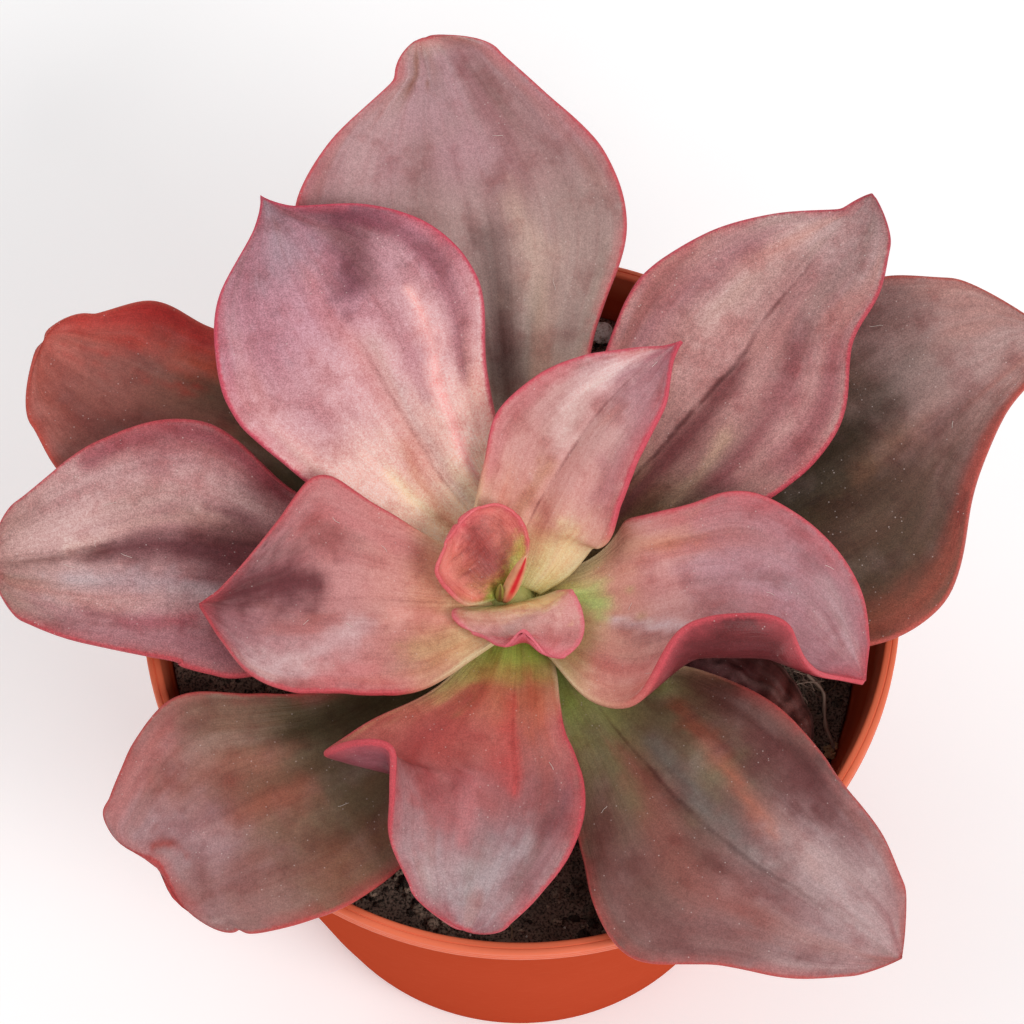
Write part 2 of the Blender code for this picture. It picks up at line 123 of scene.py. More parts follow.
def sums(tree, operation, first, second):
    node = shader_node(tree, "Math", {}, operation=operation)
    feed(tree, node.inputs[0], first)
    feed(tree, node.inputs[1], second)
    return node.outputs[0]


def new_finish(name):
    """A material, its node tree and its Principled shader."""
    material = bpy.data.materials.new(name)
    material.use_nodes = True
    tree = material.node_tree
    return material, tree, tree.nodes["Principled BSDF"]


def relief(tree, shader, height, depth):
    """Raise the surface by a height from 0 to 1 that stands for depth in metres."""
    bump = shader_node(tree, "Bump", {"Height": height, "Distance": depth, "Strength": 1.0})
    tree.links.new(bump.outputs[0], shader.inputs["Normal"])


def own_place(tree):
    return tree.nodes.new("ShaderNodeTexCoord").outputs["Object"]


def painted(tree, layer, out="Fac"):
    """What a mesh's own layer says: a number, or with Color as out, a colour."""
    return shader_node(tree, "Attribute", {}, attribute_name=layer).outputs[out]


def mesh_in_metres(name, bm):
    """A mesh in metres from a bmesh in millimetres, which it uses up."""
    bmesh.ops.scale(bm, vec=(MM, MM, MM), verts=bm.verts)
    mesh = bpy.data.meshes.new(name)
    bm.to_mesh(mesh)
    bm.free()
    return mesh


def placed(name, shape):
    """An object in the scene for a mesh, curve, lamp or camera."""
    holder = bpy.data.objects.new(name, shape)
    bpy.context.scene.collection.objects.link(holder)
    return holder


def settle(name, bm, finishes, slot, *nodes):
    """Make a bmesh in millimetres a piece of the plant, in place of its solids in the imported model."""
    mesh = mesh_in_metres(name, bm)
    mesh.shade_smooth()
    for finish in finishes:
        mesh.materials.append(finish)
    piece = placed(name, mesh)
    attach(piece, "root")
    if nodes:
        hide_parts(*nodes)
    return piece


def turned(bm, outline, sides):
    """A solid turned about the Z axis, from points (radius, height) that start and end on the axis."""
    verts = [bm.verts.new((radius, 0, height)) for radius, height in outline]
    edges = [bm.edges.new(pair) for pair in zip(verts, verts[1:])]
    bmesh.ops.spin(
        bm, geom=verts + edges, cent=(0, 0, 0), axis=(0, 0, 1), dvec=(0, 0, 0),
        angle=math.tau, steps=sides, use_merge=True,
    )
    bmesh.ops.remove_doubles(bm, verts=bm.verts, dist=0.005)
    bmesh.ops.recalc_face_normals(bm, faces=bm.faces)


def corner(centre, radius, start, end, steps):
    """Points of a round corner in an outline."""
    angles = [math.radians(start + (end - start) * k / steps) for k in range(steps + 1)]
    return [(centre[0] + radius * math.cos(a), centre[1] + radius * math.sin(a)) for a in angles]


def wall_radius(height):
    """The pot's outer radius under its lip."""
    top = RIM_RADIUS - LIP_STANDOUT
    return BASE_RADIUS + (top - BASE_RADIUS) * height / POT_HEIGHT


def ring(place, inward, along):
    """A fine ring that the mould left in an outline: a groove sunk inward, with its width laid along."""
    half = RING_WIDTH / 2
    across = [(-half, 0), (-half / 3, RING_DEPTH), (half / 3, RING_DEPTH), (half, 0)]
    return [tuple(place[i] + along[i] * a + inward[i] * d for i in (0, 1)) for a, d in across]


def pot_outline():
    lip_low = POT_HEIGHT - LIP_HEIGHT
    lip_inner = wall_radius(POT_HEIGHT) - WALL
    outline = [(0, 0), (BASE_RADIUS - BASE_CORNER - 3, 0)]
    outline += corner((BASE_RADIUS - BASE_CORNER, BASE_CORNER), BASE_CORNER, -90, 0, 5)
    outline += [(wall_radius(height), height) for height in WALL_HEIGHTS]
    outline += corner((wall_radius(lip_low) + LIP_FILLET, lip_low - LIP_FILLET), LIP_FILLET, 180, 90, 3)
    outline += corner((RIM_RADIUS - LIP_EDGE, lip_low + LIP_EDGE), LIP_EDGE, -80, 0, 3)
    for up in RING_HEIGHTS:
        outline += ring((RIM_RADIUS, lip_low + up), (-1, 0), (0, 1))
    outline += corner((RIM_RADIUS - LIP_ROUND, POT_HEIGHT - LIP_ROUND), LIP_ROUND, 0, 90, 5)
    outline += ring((RIM_RADIUS - TOP_RING_INSET, POT_HEIGHT), (0, -1), (-1, 0))
    outline += corner((lip_inner + LIP_ROUND, POT_HEIGHT - LIP_ROUND), LIP_ROUND, 90, 180, 5)
    outline += [(wall_radius(height) - WALL, height) for height in (lip_low, *INNER_HEIGHTS)]
    outline += [(wall_radius(FLOOR_THICKNESS) - WALL - 1, FLOOR_THICKNESS), (0, FLOOR_THICKNESS)]
    return outline


def pot_plastic():
    """Satin terracotta plastic, glossier at the lip and painted paler there as a highlight, finely rubbed and
    with a trace of peat.
    """
    finish, tree, shader = new_finish("pot_plastic")
    where = own_place(tree)
    streaked = shader_node(tree, "Mapping", {"Vector": where, "Scale": (1.0, 1.0, 5.0)}).outputs[0]
    body = blended(tree, mottle(tree, where, 30), dye(186, 70, 42), dye(194, 76, 48))
    height = shader_node(tree, "SeparateXYZ", {"Vector": where}).outputs["Z"]
    # Towards the top of the lip the colour turns paler: a painted highlight, not a paler plastic.
    body = blended(tree, between(tree, height, 0.0935, 0.0985, 0.0, 0.8), body, dye(242, 120, 82))
    rubbed = between(tree, mottle(tree, streaked, 420, 5, 0.65), 0.50, 0.75, 0.0, 0.12)
    body = blended(tree, rubbed, body, dye(226, 128, 92))
    dust = between(tree, mottle(tree, where, 150, 5, 0.65), 0.60, 0.80, 0.0, 0.10)
    body = blended(tree, dust, body, dye(120, 66, 44))
    feed(tree, shader.inputs["Base Color"], body)
    handled = mottle(tree, where, 380, 4)
    feed(tree, shader.inputs["Roughness"], between(tree, handled, 0.3, 0.75, 0.50, 0.62))
    feed(tree, shader.inputs["Specular IOR Level"], between(tree, height, 0.0935, 0.0985, 0.0, 0.3))
    relief(tree, shader, mottle(tree, where, 1400, 4), 0.00003)
    return finish


pot_bm = bmesh.new()
turned(pot_bm, pot_outline(), POT_SIDES)
pot = settle("plant_pot", pot_bm, [pot_plastic()], "pot_plastic", "pot")
drains = bmesh.new()
for k in range(DRAIN_HOLES):
    drain_angle = math.tau * (k + 0.5) / DRAIN_HOLES
    away = (math.cos(drain_angle), math.sin(drain_angle))
    place = (DRAIN_CIRCLE * away[0], DRAIN_CIRCLE * away[1], FLOOR_THICKNESS / 2)
    bmesh.ops.create_cone(
        drains, cap_ends=True, segments=40, radius1=DRAIN_RADIUS, radius2=DRAIN_RADIUS,
        depth=FLOOR_THICKNESS * 3, matrix=Matrix.Translation(place),
    )
drain_cutter = placed("drains", mesh_in_metres("drains", drains))
cut = pot.modifiers.new("drains", "BOOLEAN")
cut.operation = "DIFFERENCE"
cut.solver = "EXACT"
cut.object = drain_cutter
pot_mesh = bpy.data.meshes.new_from_object(pot.evaluated_get(bpy.context.evaluated_depsgraph_get()))
pot.modifiers.remove(cut)
pot.data = pot_mesh
pot_mesh.set_sharp_from_angle(angle=math.radians(SHARP_CORNER))
bpy.data.objects.remove(drain_cutter)


# The peat fills the pot to a little under its lip, higher at the left and at the back. It is dark and
# crumbly, with matted lumps, root fibres and white perlite on it, all of it loose and simply lying there.
SOIL_LEVEL = 86.5
SOIL_SLOPE = (-0.10, 0.07)
LOW_SIDE = 6.0
STEM_HOLE_DEPTH = 12.0
STEM_OVERLAP = 0.4
CRUMB_HEIGHT = 1.7
CRUMB_SIZE = 7.0
SMALL_CRUMB_SIZE = 3.0
GAP = 0.3
STEM_AXIS = Vector((-1.6, -5.7))
STEM_SKIN = 6.9
SOIL_SIDES = 300
SOIL_RINGS = 64
HANDFUL = 50
CRUMBS = 2300
CRUMB_LEAST = 0.35
CRUMB_MORE = 0.9
LUMPS = 34
LUMP_CLEAR = 4
LUMP_CRUMBS = 22
LUMP_SPREAD = 1.3
LUMP_HEIGHT = 1.8
PERLITE_BITS = 150
PERLITE_LEAST = 0.2
PERLITE_MORE = 0.55
FIBRES = 90
FIBRE_CLEAR = 5
FIBRE_RADIUS = 0.11
FIBRE_POINTS = 9
FIBRE_STEP = 0.75


def soil_plane(x, y):
    return SOIL_LEVEL + SOIL_SLOPE[0] * x + SOIL_SLOPE[1] * y


def soil_height(x, y):
    """The plane with large crumbs and smaller ones on it."""
    large = noise.noise(Vector((x, y, 0)) / CRUMB_SIZE)
    small = noise.noise(Vector((x, y, 50)) / SMALL_CRUMB_SIZE)
    return soil_plane(x, y) + CRUMB_HEIGHT * (large + small / 2)


def soil_wall(height):
    return wall_radius(height) - WALL - GAP


def loose_spot(dice, clear):
    """A random spot on the peat, at least this far in from its rim and out from the stem."""
    while True:
        x, y = (dice.uniform(-RIM_RADIUS, RIM_RADIUS) for _ in range(2))
        from_stem = (Vector((x, y)) - STEM_AXIS).length
        if math.hypot(x, y) < soil_wall(SOIL_LEVEL - LOW_SIDE) - clear and from_stem > STEM_SKIN + clear:
            return x, y


def peat_finish():
    """Damp peat: near black, with browner crumbs as their own shade says, and pale dust on the dry tops."""
    finish, tree, shader = new_finish("peat")
    where = own_place(tree)
    shade = painted(tree, "shade", "Color")
    grains = mottle(tree, where, 2600, 3, 0.6)
    body = blended(tree, between(tree, grains, 0.30, 0.62), dye(24, 16, 13), shade)
    fleck = between(tree, mottle(tree, where, 5200, 1), 0.70, 0.76)
    body = blended(tree, sums(tree, "MULTIPLY", fleck, 0.55), body, dye(150, 118, 92))
    feed(tree, shader.inputs["Base Color"], body)
    shader.inputs["Roughness"].default_value = 0.92
    shader.inputs["Specular IOR Level"].default_value = 0.25
    relief(tree, shader, grains, 0.0004)
    return finish


def perlite_finish():
    """Blown volcanic glass: chalk white, pitted, with a trace of peat in the pits."""
    finish, tree, shader = new_finish("perlite")
    where = own_place(tree)
    pits = mottle(tree, where, 2300, 4, 0.65)
    chalk = blended(tree, between(tree, pits, 0.3, 0.55), dye(160, 145, 128), dye(243, 240, 234))
    feed(tree, shader.inputs["Base Color"], chalk)
    shader.inputs["Roughness"].default_value = 0.85
    relief(tree, shader, pits, 0.0003)
    return finish


def strewn(dice, crumbs):
    """Crumbs of twenty faces, from (place, radius, squash, shade), each turned and stretched at random. They
    are made a handful at a time, because a small bmesh takes a new crumb sooner than a large one."""
    whole = bmesh.new()
    for first in range(0, len(crumbs), HANDFUL):
        handful = bmesh.new()
        shades = handful.verts.layers.float_color.new("shade")
        for place, radius, squash, shade in crumbs[first:first + HANDFUL]:
            turn = Matrix.Rotation(dice.uniform(0, math.tau), 4, dice.choice("XYZ"))
            stretch = Matrix.Diagonal((dice.uniform(0.8, 1.3), dice.uniform(0.7, 1.1), squash, 1))
            matrix = Matrix.Translation(place) @ stretch @ turn
            crumb = bmesh.ops.create_icosphere(handful, subdivisions=1, radius=radius, matrix=matrix)
            for vert in crumb["verts"]:
                vert.co += Vector([dice.uniform(-0.16, 0.16) * radius for _ in range(3)])
                vert[shades] = shade
        scrap = bpy.data.meshes.new("handful")
        handful.to_mesh(scrap)
        handful.free()
        whole.from_mesh(scrap)
        bpy.data.meshes.remove(scrap)
    return whole


def threads(lines):
    """Thin threads through lines of points (x, y, z, radius)."""
    curve = bpy.data.curves.new("threads", "CURVE")
    curve.dimensions = "3D"
    curve.bevel_depth = 1.0
    curve.bevel_resolution = 0
    curve.use_fill_caps = True
    for line in lines:
        spline = curve.splines.new("POLY")
        spline.points.add(len(line) - 1)
        for point, (x, y, z, radius) in zip(spline.points, line):
            point.co = (x, y, z, 1)
            point.radius = radius
    holder = placed("threads", curve)
    mesh = bpy.data.meshes.new_from_object(holder)
    bpy.data.objects.remove(holder)
    bm = bmesh.new()
    bm.from_mesh(mesh)
    bpy.data.meshes.remove(mesh)
    return bm


def fibre_finish(dark, pale):
    """Dry plant fibre, darker and paler along its length."""
    finish, tree, shader = new_finish("plant_fibre")
    patches = mottle(tree, own_place(tree), 260)
    feed(tree, shader.inputs["Base Color"], blended(tree, patches, dye(*dark), dye(*pale)))
    shader.inputs["Roughness"].default_value = 0.8
    return finish


peat = peat_finish()
dice = random.Random(11)
soil = bmesh.new()
soil_shades = soil.verts.layers.float_color.new("shade")
bmesh.ops.create_grid(soil, x_segments=SOIL_SIDES, y_segments=SOIL_RINGS, size=1.0)
for vert in soil.verts:
    toward = Vector((math.cos(math.pi * vert.co.x), math.sin(math.pi * vert.co.x)))
    share = (vert.co.y + 1) / 2
    rim = soil_wall(soil_plane(*(soil_wall(SOIL_LEVEL) * toward))) * toward
    x, y = (STEM_AXIS + (STEM_SKIN - STEM_OVERLAP) * toward).lerp(rim, share ** 0.8)
    crumbs = (soil_height(x, y) - soil_plane(x, y)) * (1 - share ** 6)
    fine = 0.5 * noise.noise(Vector((x, y, 9)) / 1.3) + 0.25 * noise.noise(Vector((x, y, 17)) / 0.6)
    vert.co = (x, y, soil_plane(x, y) + crumbs + fine * (1 - share ** 12))
    brown = 0.5 + 0.5 * noise.noise(Vector((x, y, 30)) / 5)
    vert[soil_shades] = Vector(dye(92, 76, 68)).lerp(Vector(dye(188, 158, 140)), brown)
bmesh.ops.remove_doubles(soil, verts=soil.verts, dist=0.005)
sunk = bmesh.ops.extrude_edge_only(soil, edges=[edge for edge in soil.edges if edge.is_boundary])["geom"]
for vert in (g for g in sunk if isinstance(g, bmesh.types.BMVert)):
    if (vert.co.xy - STEM_AXIS).length < STEM_SKIN + 1:
        vert.co.z = SOIL_LEVEL - STEM_HOLE_DEPTH
    else:
        vert.co.xy = vert.co.xy.normalized() * soil_wall(FLOOR_THICKNESS + GAP)
        vert.co.z = FLOOR_THICKNESS + GAP
bmesh.ops.holes_fill(soil, edges=[edge for edge in soil.edges if edge.is_boundary])
bmesh.ops.triangulate(soil, faces=[face for face in soil.faces if len(face.verts) > 4])
bmesh.ops.recalc_face_normals(soil, faces=soil.faces)
settle("peat", soil, [peat], "peat_soil", "soil")

crumbs = []
for _ in range(CRUMBS):
    size = CRUMB_LEAST + CRUMB_MORE * dice.random() ** 3
    x, y = loose_spot(dice, size)
    tone = Vector(dye(70, 58, 52)).lerp(Vector(dye(222, 192, 168)), dice.random() ** 2)
    crumbs.append(((x, y, soil_height(x, y) + size * 0.3), size, 0.75, tone))
for _ in range(LUMPS):
    x, y = loose_spot(dice, LUMP_CLEAR)
    tone = Vector(dye(156, 130, 114)).lerp(Vector(dye(230, 202, 180)), dice.random())
    for _ in range(LUMP_CRUMBS):
        away = Vector((dice.gauss(0, LUMP_SPREAD), dice.gauss(0, LUMP_SPREAD)))
        up = max(LUMP_HEIGHT - 0.5 * away.length, 0) * dice.uniform(0.4, 1)
        spot = (x + away.x, y + away.y, soil_height(x + away.x, y + away.y) + up)
        crumbs.append((spot, dice.uniform(0.3, 0.75), 0.9, tone * dice.uniform(0.6, 1.2)))
settle("peat_crumbs", strewn(dice, crumbs), [peat], "peat_soil")

perlite = perlite_finish()
bits = []
for _ in range(PERLITE_BITS):
    size = PERLITE_LEAST + PERLITE_MORE * dice.random() ** 3
    x, y = loose_spot(dice, size)
    bits.append(((x, y, soil_height(x, y) + size * 0.5), size, 0.9, (1, 1, 1, 1)))
settle("perlite_bits", strewn(dice, bits), [perlite], "perlite")

grain_low, grain_high = (corner_point / MM for corner_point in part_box("perlite_grain"))
grain_bm = bmesh.new()
bmesh.ops.create_icosphere(grain_bm, subdivisions=4, radius=1.0)
for vert in grain_bm.verts:
    vert.co *= 1 + 0.25 * noise.noise(vert.co * 1.7)
    vert.co *= 1 + 0.10 * noise.noise(vert.co * 4.5) - 0.06 * max(noise.noise(vert.co * 9), 0)
grain_centre = (grain_low + grain_high) / 2
grain_half = (grain_high - grain_low) / 2
bmesh.ops.scale(grain_bm, vec=grain_half * 0.94, verts=grain_bm.verts)
bmesh.ops.translate(grain_bm, vec=grain_centre - Vector((0, 0, GAP)), verts=grain_bm.verts)
settle("perlite_piece", grain_bm, [perlite], "perlite", "perlite_grain")

fibre_lines = []
for _ in range(FIBRES):
    x, y = loose_spot(dice, FIBRE_CLEAR)
    heading = dice.uniform(0, math.tau)
    bend = dice.uniform(-0.35, 0.35)
    line = []
    for _ in range(FIBRE_POINTS):
        lift = 0.35 + 0.5 * dice.random() ** 2
        line.append((x, y, soil_height(x, y) + lift, FIBRE_RADIUS * dice.uniform(0.5, 1.2)))
        x += FIBRE_STEP * math.cos(heading)
        y += FIBRE_STEP * math.sin(heading)
        heading += bend + dice.uniform(-0.4, 0.4)
    fibre_lines.append(line)
settle("root_fibres", threads(fibre_lines), [fibre_finish((70, 48, 36), (190, 160, 128))], "peat_soil")


# The stem is short and fleshy, green under the heart and corky brown near the peat, where the oldest leaves
# have dropped and left their scars. It grows up through the peat, and every leaf grows from it.
STEM_OUTLINE = (
    (4.6, 52.0), (5.8, 56.0), (6.6, 76.0), (6.9, 92.0),
    (6.4, 101.0), (5.4, 107.0), (3.6, 110.5), (2.0, 112.0),
)
STEM_STEP = 0.5
STEM_TOP = 112.4
STEM_SIDES = 72
SCAR_SPACING = 2.6
SCAR_HEIGHT = 0.28
STEM_UNEVEN = 0.25
STEM_INSET = 0.35


def smooth_through(places, values, at):
    """The value, at a place, of a smooth curve through values given at places."""
    last = len(places) - 1
    at = min(max(at, places[0]), places[last])
    k = max(i for i in range(last) if places[i] <= at)

    def slope(i):
        low, high = max(i - 1, 0), min(i + 1, last)
        return (values[high] - values[low]) / (places[high] - places[low])

    span = places[k + 1] - places[k]
    s = (at - places[k]) / span
    ends = values[k] * (1 + 2 * s) * (1 - s) ** 2 + values[k + 1] * s * s * (3 - 2 * s)
    turns = slope(k) * s * (1 - s) ** 2 - slope(k + 1) * s * s * (1 - s)
    return ends + turns * span


def stem_finish():
    """Waxy green skin that turns to brown cork downwards, ringed with leaf scars."""
    finish, tree, shader = new_finish("stem_skin")
    where = own_place(tree)
    height = shader_node(tree, "SeparateXYZ", {"Vector": where}).outputs["Z"]
    patches = mottle(tree, where, 320, 4)
    green = blended(tree, patches, dye(150, 156, 80), dye(196, 190, 120))
    cork = blended(tree, patches, dye(78, 58, 42), dye(128, 100, 72))
    feed(tree, shader.inputs["Base Color"], blended(tree, between(tree, height, 0.092, 0.106), cork, green))
    shader.inputs["Roughness"].default_value = 0.6
    relief(tree, shader, mottle(tree, where, 1500, 4), 0.0002)
    return finish


stem_bm = bmesh.new()
stem_heights = [p[1] for p in STEM_OUTLINE]
stem_radii = [p[0] for p in STEM_OUTLINE]
stem_steps = int((stem_heights[-1] - stem_heights[0]) / STEM_STEP)
steps = [stem_heights[0] + STEM_STEP * k for k in range(stem_steps + 1)]
stem_line = [(smooth_through(stem_heights, stem_radii, height), height) for height in steps]
turned(stem_bm, [(0, STEM_OUTLINE[0][1]), *stem_line, (0, STEM_TOP)], STEM_SIDES)
for vert in stem_bm.verts:
    angle = math.atan2(vert.co.y, vert.co.x)
    scar = math.sin(math.tau * vert.co.z / SCAR_SPACING + 3 * angle) ** 6
    uneven = STEM_UNEVEN * noise.noise(Vector((math.cos(angle) * 2, math.sin(angle) * 2, vert.co.z / 3)))
    vert.co.xy *= 1 + (SCAR_HEIGHT * scar + uneven - STEM_INSET) / STEM_SKIN
    vert.co.x += STEM_AXIS.x
    vert.co.y += STEM_AXIS.y
settle("stem_and_foot", stem_bm, [stem_finish()], "stem_green", "stem")


# The oldest leaf has dried under the others. It is a crumpled brown scrap against the wall of the pot, with
# a withered strand and a crust of dried sap at its end. It is shaped as the living leaves are, only thinner.
STATIONS = (0.0, 0.15, 0.3, 0.45, 0.6, 0.73, 0.85, 0.94)
ROWS = 64
COLUMNS = 40
ROW_CROWDING = 1.5
COLUMN_CROWDING = 1.2
SECTION_STEPS = 8
RIB_STEP = 0.02
ROOT_THICKNESS = 2.6
BLADE_THICKNESS = 2.7
TIP_THICKNESS = 1.5
MARGIN_SHARE = 0.4
MARGIN_HEAVE = 0.16
SLENDER = 3.5
BLADE_HEAVE = 0.22
CREASE = (0, -0.9, 0.22)


class Blade(NamedTuple):
    """One leaf. Heights are up from the pot's rim, and places on it are t, from 0 at its base to 1 at its
    tip, and v, from -1 at its right margin to 1 at its left.

    azimuth: the way it points, in degrees about the stem from +X.
    point: how the end closes, from 0.5 for round through 1 for straight to 1.5 for drawn out.
    rib: points (out, side, up) along the midrib, from inside the stem to the tip.
    left, right: half widths, measured round the section, at STATIONS.
    curl_left, curl_right: how steeply each margin is turned up there.
    along: (t, colour) from the base to the tip.
    strokes: (t, v, t, v, half width, half width, colour, strength) of soft strokes of other colours, from
    one place to another. Some of them are painted light: highlights, shade, a shadow and reflections.
    rim, rim_width: the colour and width of the line along the margin.
    under: the colours of the underside at the base and at the tip.
    wave_left, wave_right: (height, how many, where the first starts) of the waves in each margin.
    ridges: (v, height, spread) of ridges and furrows that run the whole length.
    folds: (t from, t to, v from, v to, height, spread) of shorter ones.
    thickness: how thick it is, as a share of a full-grown leaf.
    powder, crumple, crease: how grainy its wax is, how far its blade is crushed, how dark the painted shade
    along its midrib furrow is.
    sweep_left, sweep_right: how far forward each side lies, 10 mm from the rib, at the base and at the tip.
    notch: (depth, half width, lift) of the dent in a blunt end, where the tip is drawn back and up.
    """

    name: str
    slot: str
    azimuth: float
    point: float
    rib: tuple
    left: tuple
    right: tuple
    curl_left: tuple
    curl_right: tuple
    along: tuple
    strokes: tuple
    rim: tuple
    under: tuple
    rim_width: float = 1.0
    wave_left: tuple = (0, 1, 0)
    wave_right: tuple = (0, 1, 0)
    ridges: tuple = (CREASE,)
    folds: tuple = ()
    sweep_left: tuple = (0, 0)
    sweep_right: tuple = (0, 0)
    notch: tuple = (0, 1, 0)
    thickness: float = 1.0
    powder: float = 0.6
    crumple: float = 0.0
    crease: float = 0.3


def rib_places(rib):
    """How far along the rib each of its points is, from 0 to 1."""
    far = [0.0]
    for a, b in zip(rib, rib[1:]):
        far.append(far[-1] + math.dist(a, b))
    return [f / far[-1] for f in far]


def rib_point(rib, places, t):
    return Vector([smooth_through(places, [p[axis] for p in rib], t) for axis in range(3)])


def half_width(widths, point, t):
    """Half the blade's width at t. Past the last station the end closes to the tip."""
    last = STATIONS[-1]
    if t <= last:
        return smooth_through(STATIONS, widths, t)
    s = (t - last) / (1 - last)
    if point >= 1:
        return widths[-1] * (1 - s) ** point
    return widths[-1] * max(1 - s ** (1 / point), 0) ** point


def blade_point(blade, places, t, v):
    """The upper face at (t, v), and how far that is from the margin."""
    beyond = rib_point(blade.rib, places, min(t + RIB_STEP, 1))
    before = rib_point(blade.rib, places, max(t - RIB_STEP, 0))
    ahead = (beyond - before).normalized()
    aside = Vector((-ahead.y, ahead.x, 0)).normalized()
    above = ahead.cross(aside)
    if v >= 0:
        side, widths, curls = 1, blade.left, blade.curl_left
        sweep, wave = blade.sweep_left, blade.wave_left
    else:
        side, widths, curls = -1, blade.right, blade.curl_right
        sweep, wave = blade.sweep_right, blade.wave_right
    edge = math.radians(smooth_through(STATIONS, curls, t))
    width = half_width(widths, blade.point, t)
    reach = width * abs(v)
    across = rise = 0.0
    for k in range(SECTION_STEPS):
        slope = edge * (abs(v) * (k + 0.5) / SECTION_STEPS) ** 2
        across += reach / SECTION_STEPS * math.cos(slope)
        rise += reach / SECTION_STEPS * math.sin(slope)
    along = math.sin(math.pi * min(1.15 * t, 1))
    rise += wave[0] * abs(v) ** 2.5 * math.sin(math.tau * (wave[1] * t + wave[2])) * along
    for place, height, spread in blade.ridges:
        rise += height * math.exp(-(((v - place) / spread) ** 2)) * along
    for start, end, v_start, v_end, height, spread in blade.folds:
        if start < t < end:
            share = (t - start) / (end - start)
            off = (v - v_start - (v_end - v_start) * share) / spread
            rise += height * math.sin(math.pi * share) ** 0.7 * math.exp(-off * off)
    seed = Vector((0, 0, blade.azimuth))
    spot = Vector((t * 60, side * across, 0))
    rise += BLADE_HEAVE * (noise.noise(spot / 9 + seed) + 0.3 * noise.noise(spot / 2.5 + seed)) * along
    crushed = abs(noise.noise(spot / 5 + seed)) - 0.2 + 0.4 * noise.noise(spot / 2 + seed)
    rise += blade.crumple * crushed * math.sin(math.pi * t) ** 0.4
    across += MARGIN_HEAVE * v ** 4 * noise.noise(Vector((t * 22, side, blade.azimuth))) * along
    depth, half, lift = blade.notch
    dent = math.exp(-((reach / half) ** 2)) * t ** 8
    forward = (sweep[0] + (sweep[1] - sweep[0]) * t) * (reach / 10) ** 2 - depth * dent
    rise += lift * dent
    where = rib_point(blade.rib, places, t) + aside * side * across + above * rise + ahead * forward
    length = math.dist(blade.rib[0], blade.rib[-1])
    return where, min(width * (1 - abs(v)), length * (1 - t))


def blade_place(blade, where):
    """A point on a leaf's own (out, side, up), as a place in the plant."""
    turn = math.radians(blade.azimuth)
    x = STEM_AXIS.x + where.x * math.cos(turn) - where.y * math.sin(turn)
    y = STEM_AXIS.y + where.x * math.sin(turn) + where.y * math.cos(turn)
    return Vector((x, y, POT_HEIGHT + where.z))


def blade_thickness(t, v):
    along = smooth_through((0.0, 0.5, 1.0), (ROOT_THICKNESS, BLADE_THICKNESS, TIP_THICKNESS), t)
    return along * (1 - (1 - MARGIN_SHARE) * abs(v) ** 3)


def tone_along(tones, t):
    """The colour at t, from pairs (t, colour)."""
    for (low, first), (high, second) in zip(tones, tones[1:]):
        if t <= high:
            share = (t - low) / (high - low)
            return Vector(dye(*first)).lerp(Vector(dye(*second)), share * share * (3 - 2 * share))
    return Vector(dye(*tones[-1][1]))


def stroked(tone, strokes, t, v):
    """A colour with soft, patchy strokes over it, each drawn from one place on the leaf to another. A leaf is
    about SLENDER half widths long."""
    for t_start, v_start, t_end, v_end, half_start, half_end, colour, strength in strokes:
        line = Vector((SLENDER * (t_end - t_start), v_end - v_start))
        away = Vector((SLENDER * (t - t_start), v - v_start))
        share = min(max(away.dot(line) / line.length_squared, 0), 1)
        off = (away - line * share).length / (half_start + (half_end - half_start) * share)
        coarse = noise.noise(Vector((t * 16, v * 5, t_start * 40)))
        off *= 1 + 0.7 * coarse + 0.5 * noise.noise(Vector((t * 42, v * 13, v_start * 40)))
        tone = tone.lerp(Vector(dye(*colour)), strength * math.exp(-off * off))
    return tone


def grow_blade(blade, finishes):
    """A sheet bent to the leaf's upper face and painted, then thickened downwards to a soft margin."""
    places = rib_places(blade.rib)
    bm = bmesh.new()
    group = bm.verts.layers.deform.verify()
    skin, rim, under = (bm.verts.layers.float_color.new(name) for name in ("skin", "rim", "under"))
    margin, powder, crease = (bm.verts.layers.float.new(name) for name in ("margin", "powder", "crease"))
    veins = bm.loops.layers.uv.new("veins")
    bmesh.ops.create_grid(bm, x_segments=ROWS, y_segments=COLUMNS, size=1.0)
    for face in bm.faces:
        for loop in face.loops:
            loop[veins].uv = ((loop.vert.co.x + 1) / 2 + blade.azimuth, (loop.vert.co.y + 1) / 2)
    for vert in bm.verts:
        t = 1 - (1 - (vert.co.x + 1) / 2) ** ROW_CROWDING
        v = math.sin(COLUMN_CROWDING * vert.co.y) / math.sin(COLUMN_CROWDING)
        where, from_margin = blade_point(blade, places, t, v)
        vert[group][0] = blade_thickness(t, v) * blade.thickness / ROOT_THICKNESS
        vert[skin] = stroked(tone_along(blade.along, t), blade.strokes, t, v)
        rim_tones = ((0, blade.along[0][1]), (0.16, CREAM), (0.40, blade.rim), (1, blade.rim))
        vert[rim] = tone_along(rim_tones, t)
        vert[under] = tone_along(((0, blade.under[0]), (0.45, blade.under[1]), (1, blade.under[1])), t)
        vert[margin] = from_margin / blade.rim_width
        vert[powder] = blade.powder
        vert[crease] = blade.crease * math.sin(math.pi * min(t / 0.85, 1)) ** 0.5
        vert.co = blade_place(blade, where)
    bmesh.ops.remove_doubles(bm, verts=bm.verts, dist=0.01)
    piece = settle(f"{blade.name}_blade", bm, finishes, blade.slot, blade.name)
    piece.vertex_groups.new(name="thickness")
    thicken = piece.modifiers.new("thickness", "SOLIDIFY")
    thicken.thickness = ROOT_THICKNESS * MM
    thicken.offset = -1
    thicken.vertex_group = "thickness"
    thicken.use_even_offset = False
    thicken.material_offset = 1
    rounded = piece.modifiers.new("rounded", "SUBSURF")
    rounded.levels = 1
    rounded.render_levels = 1
    return piece


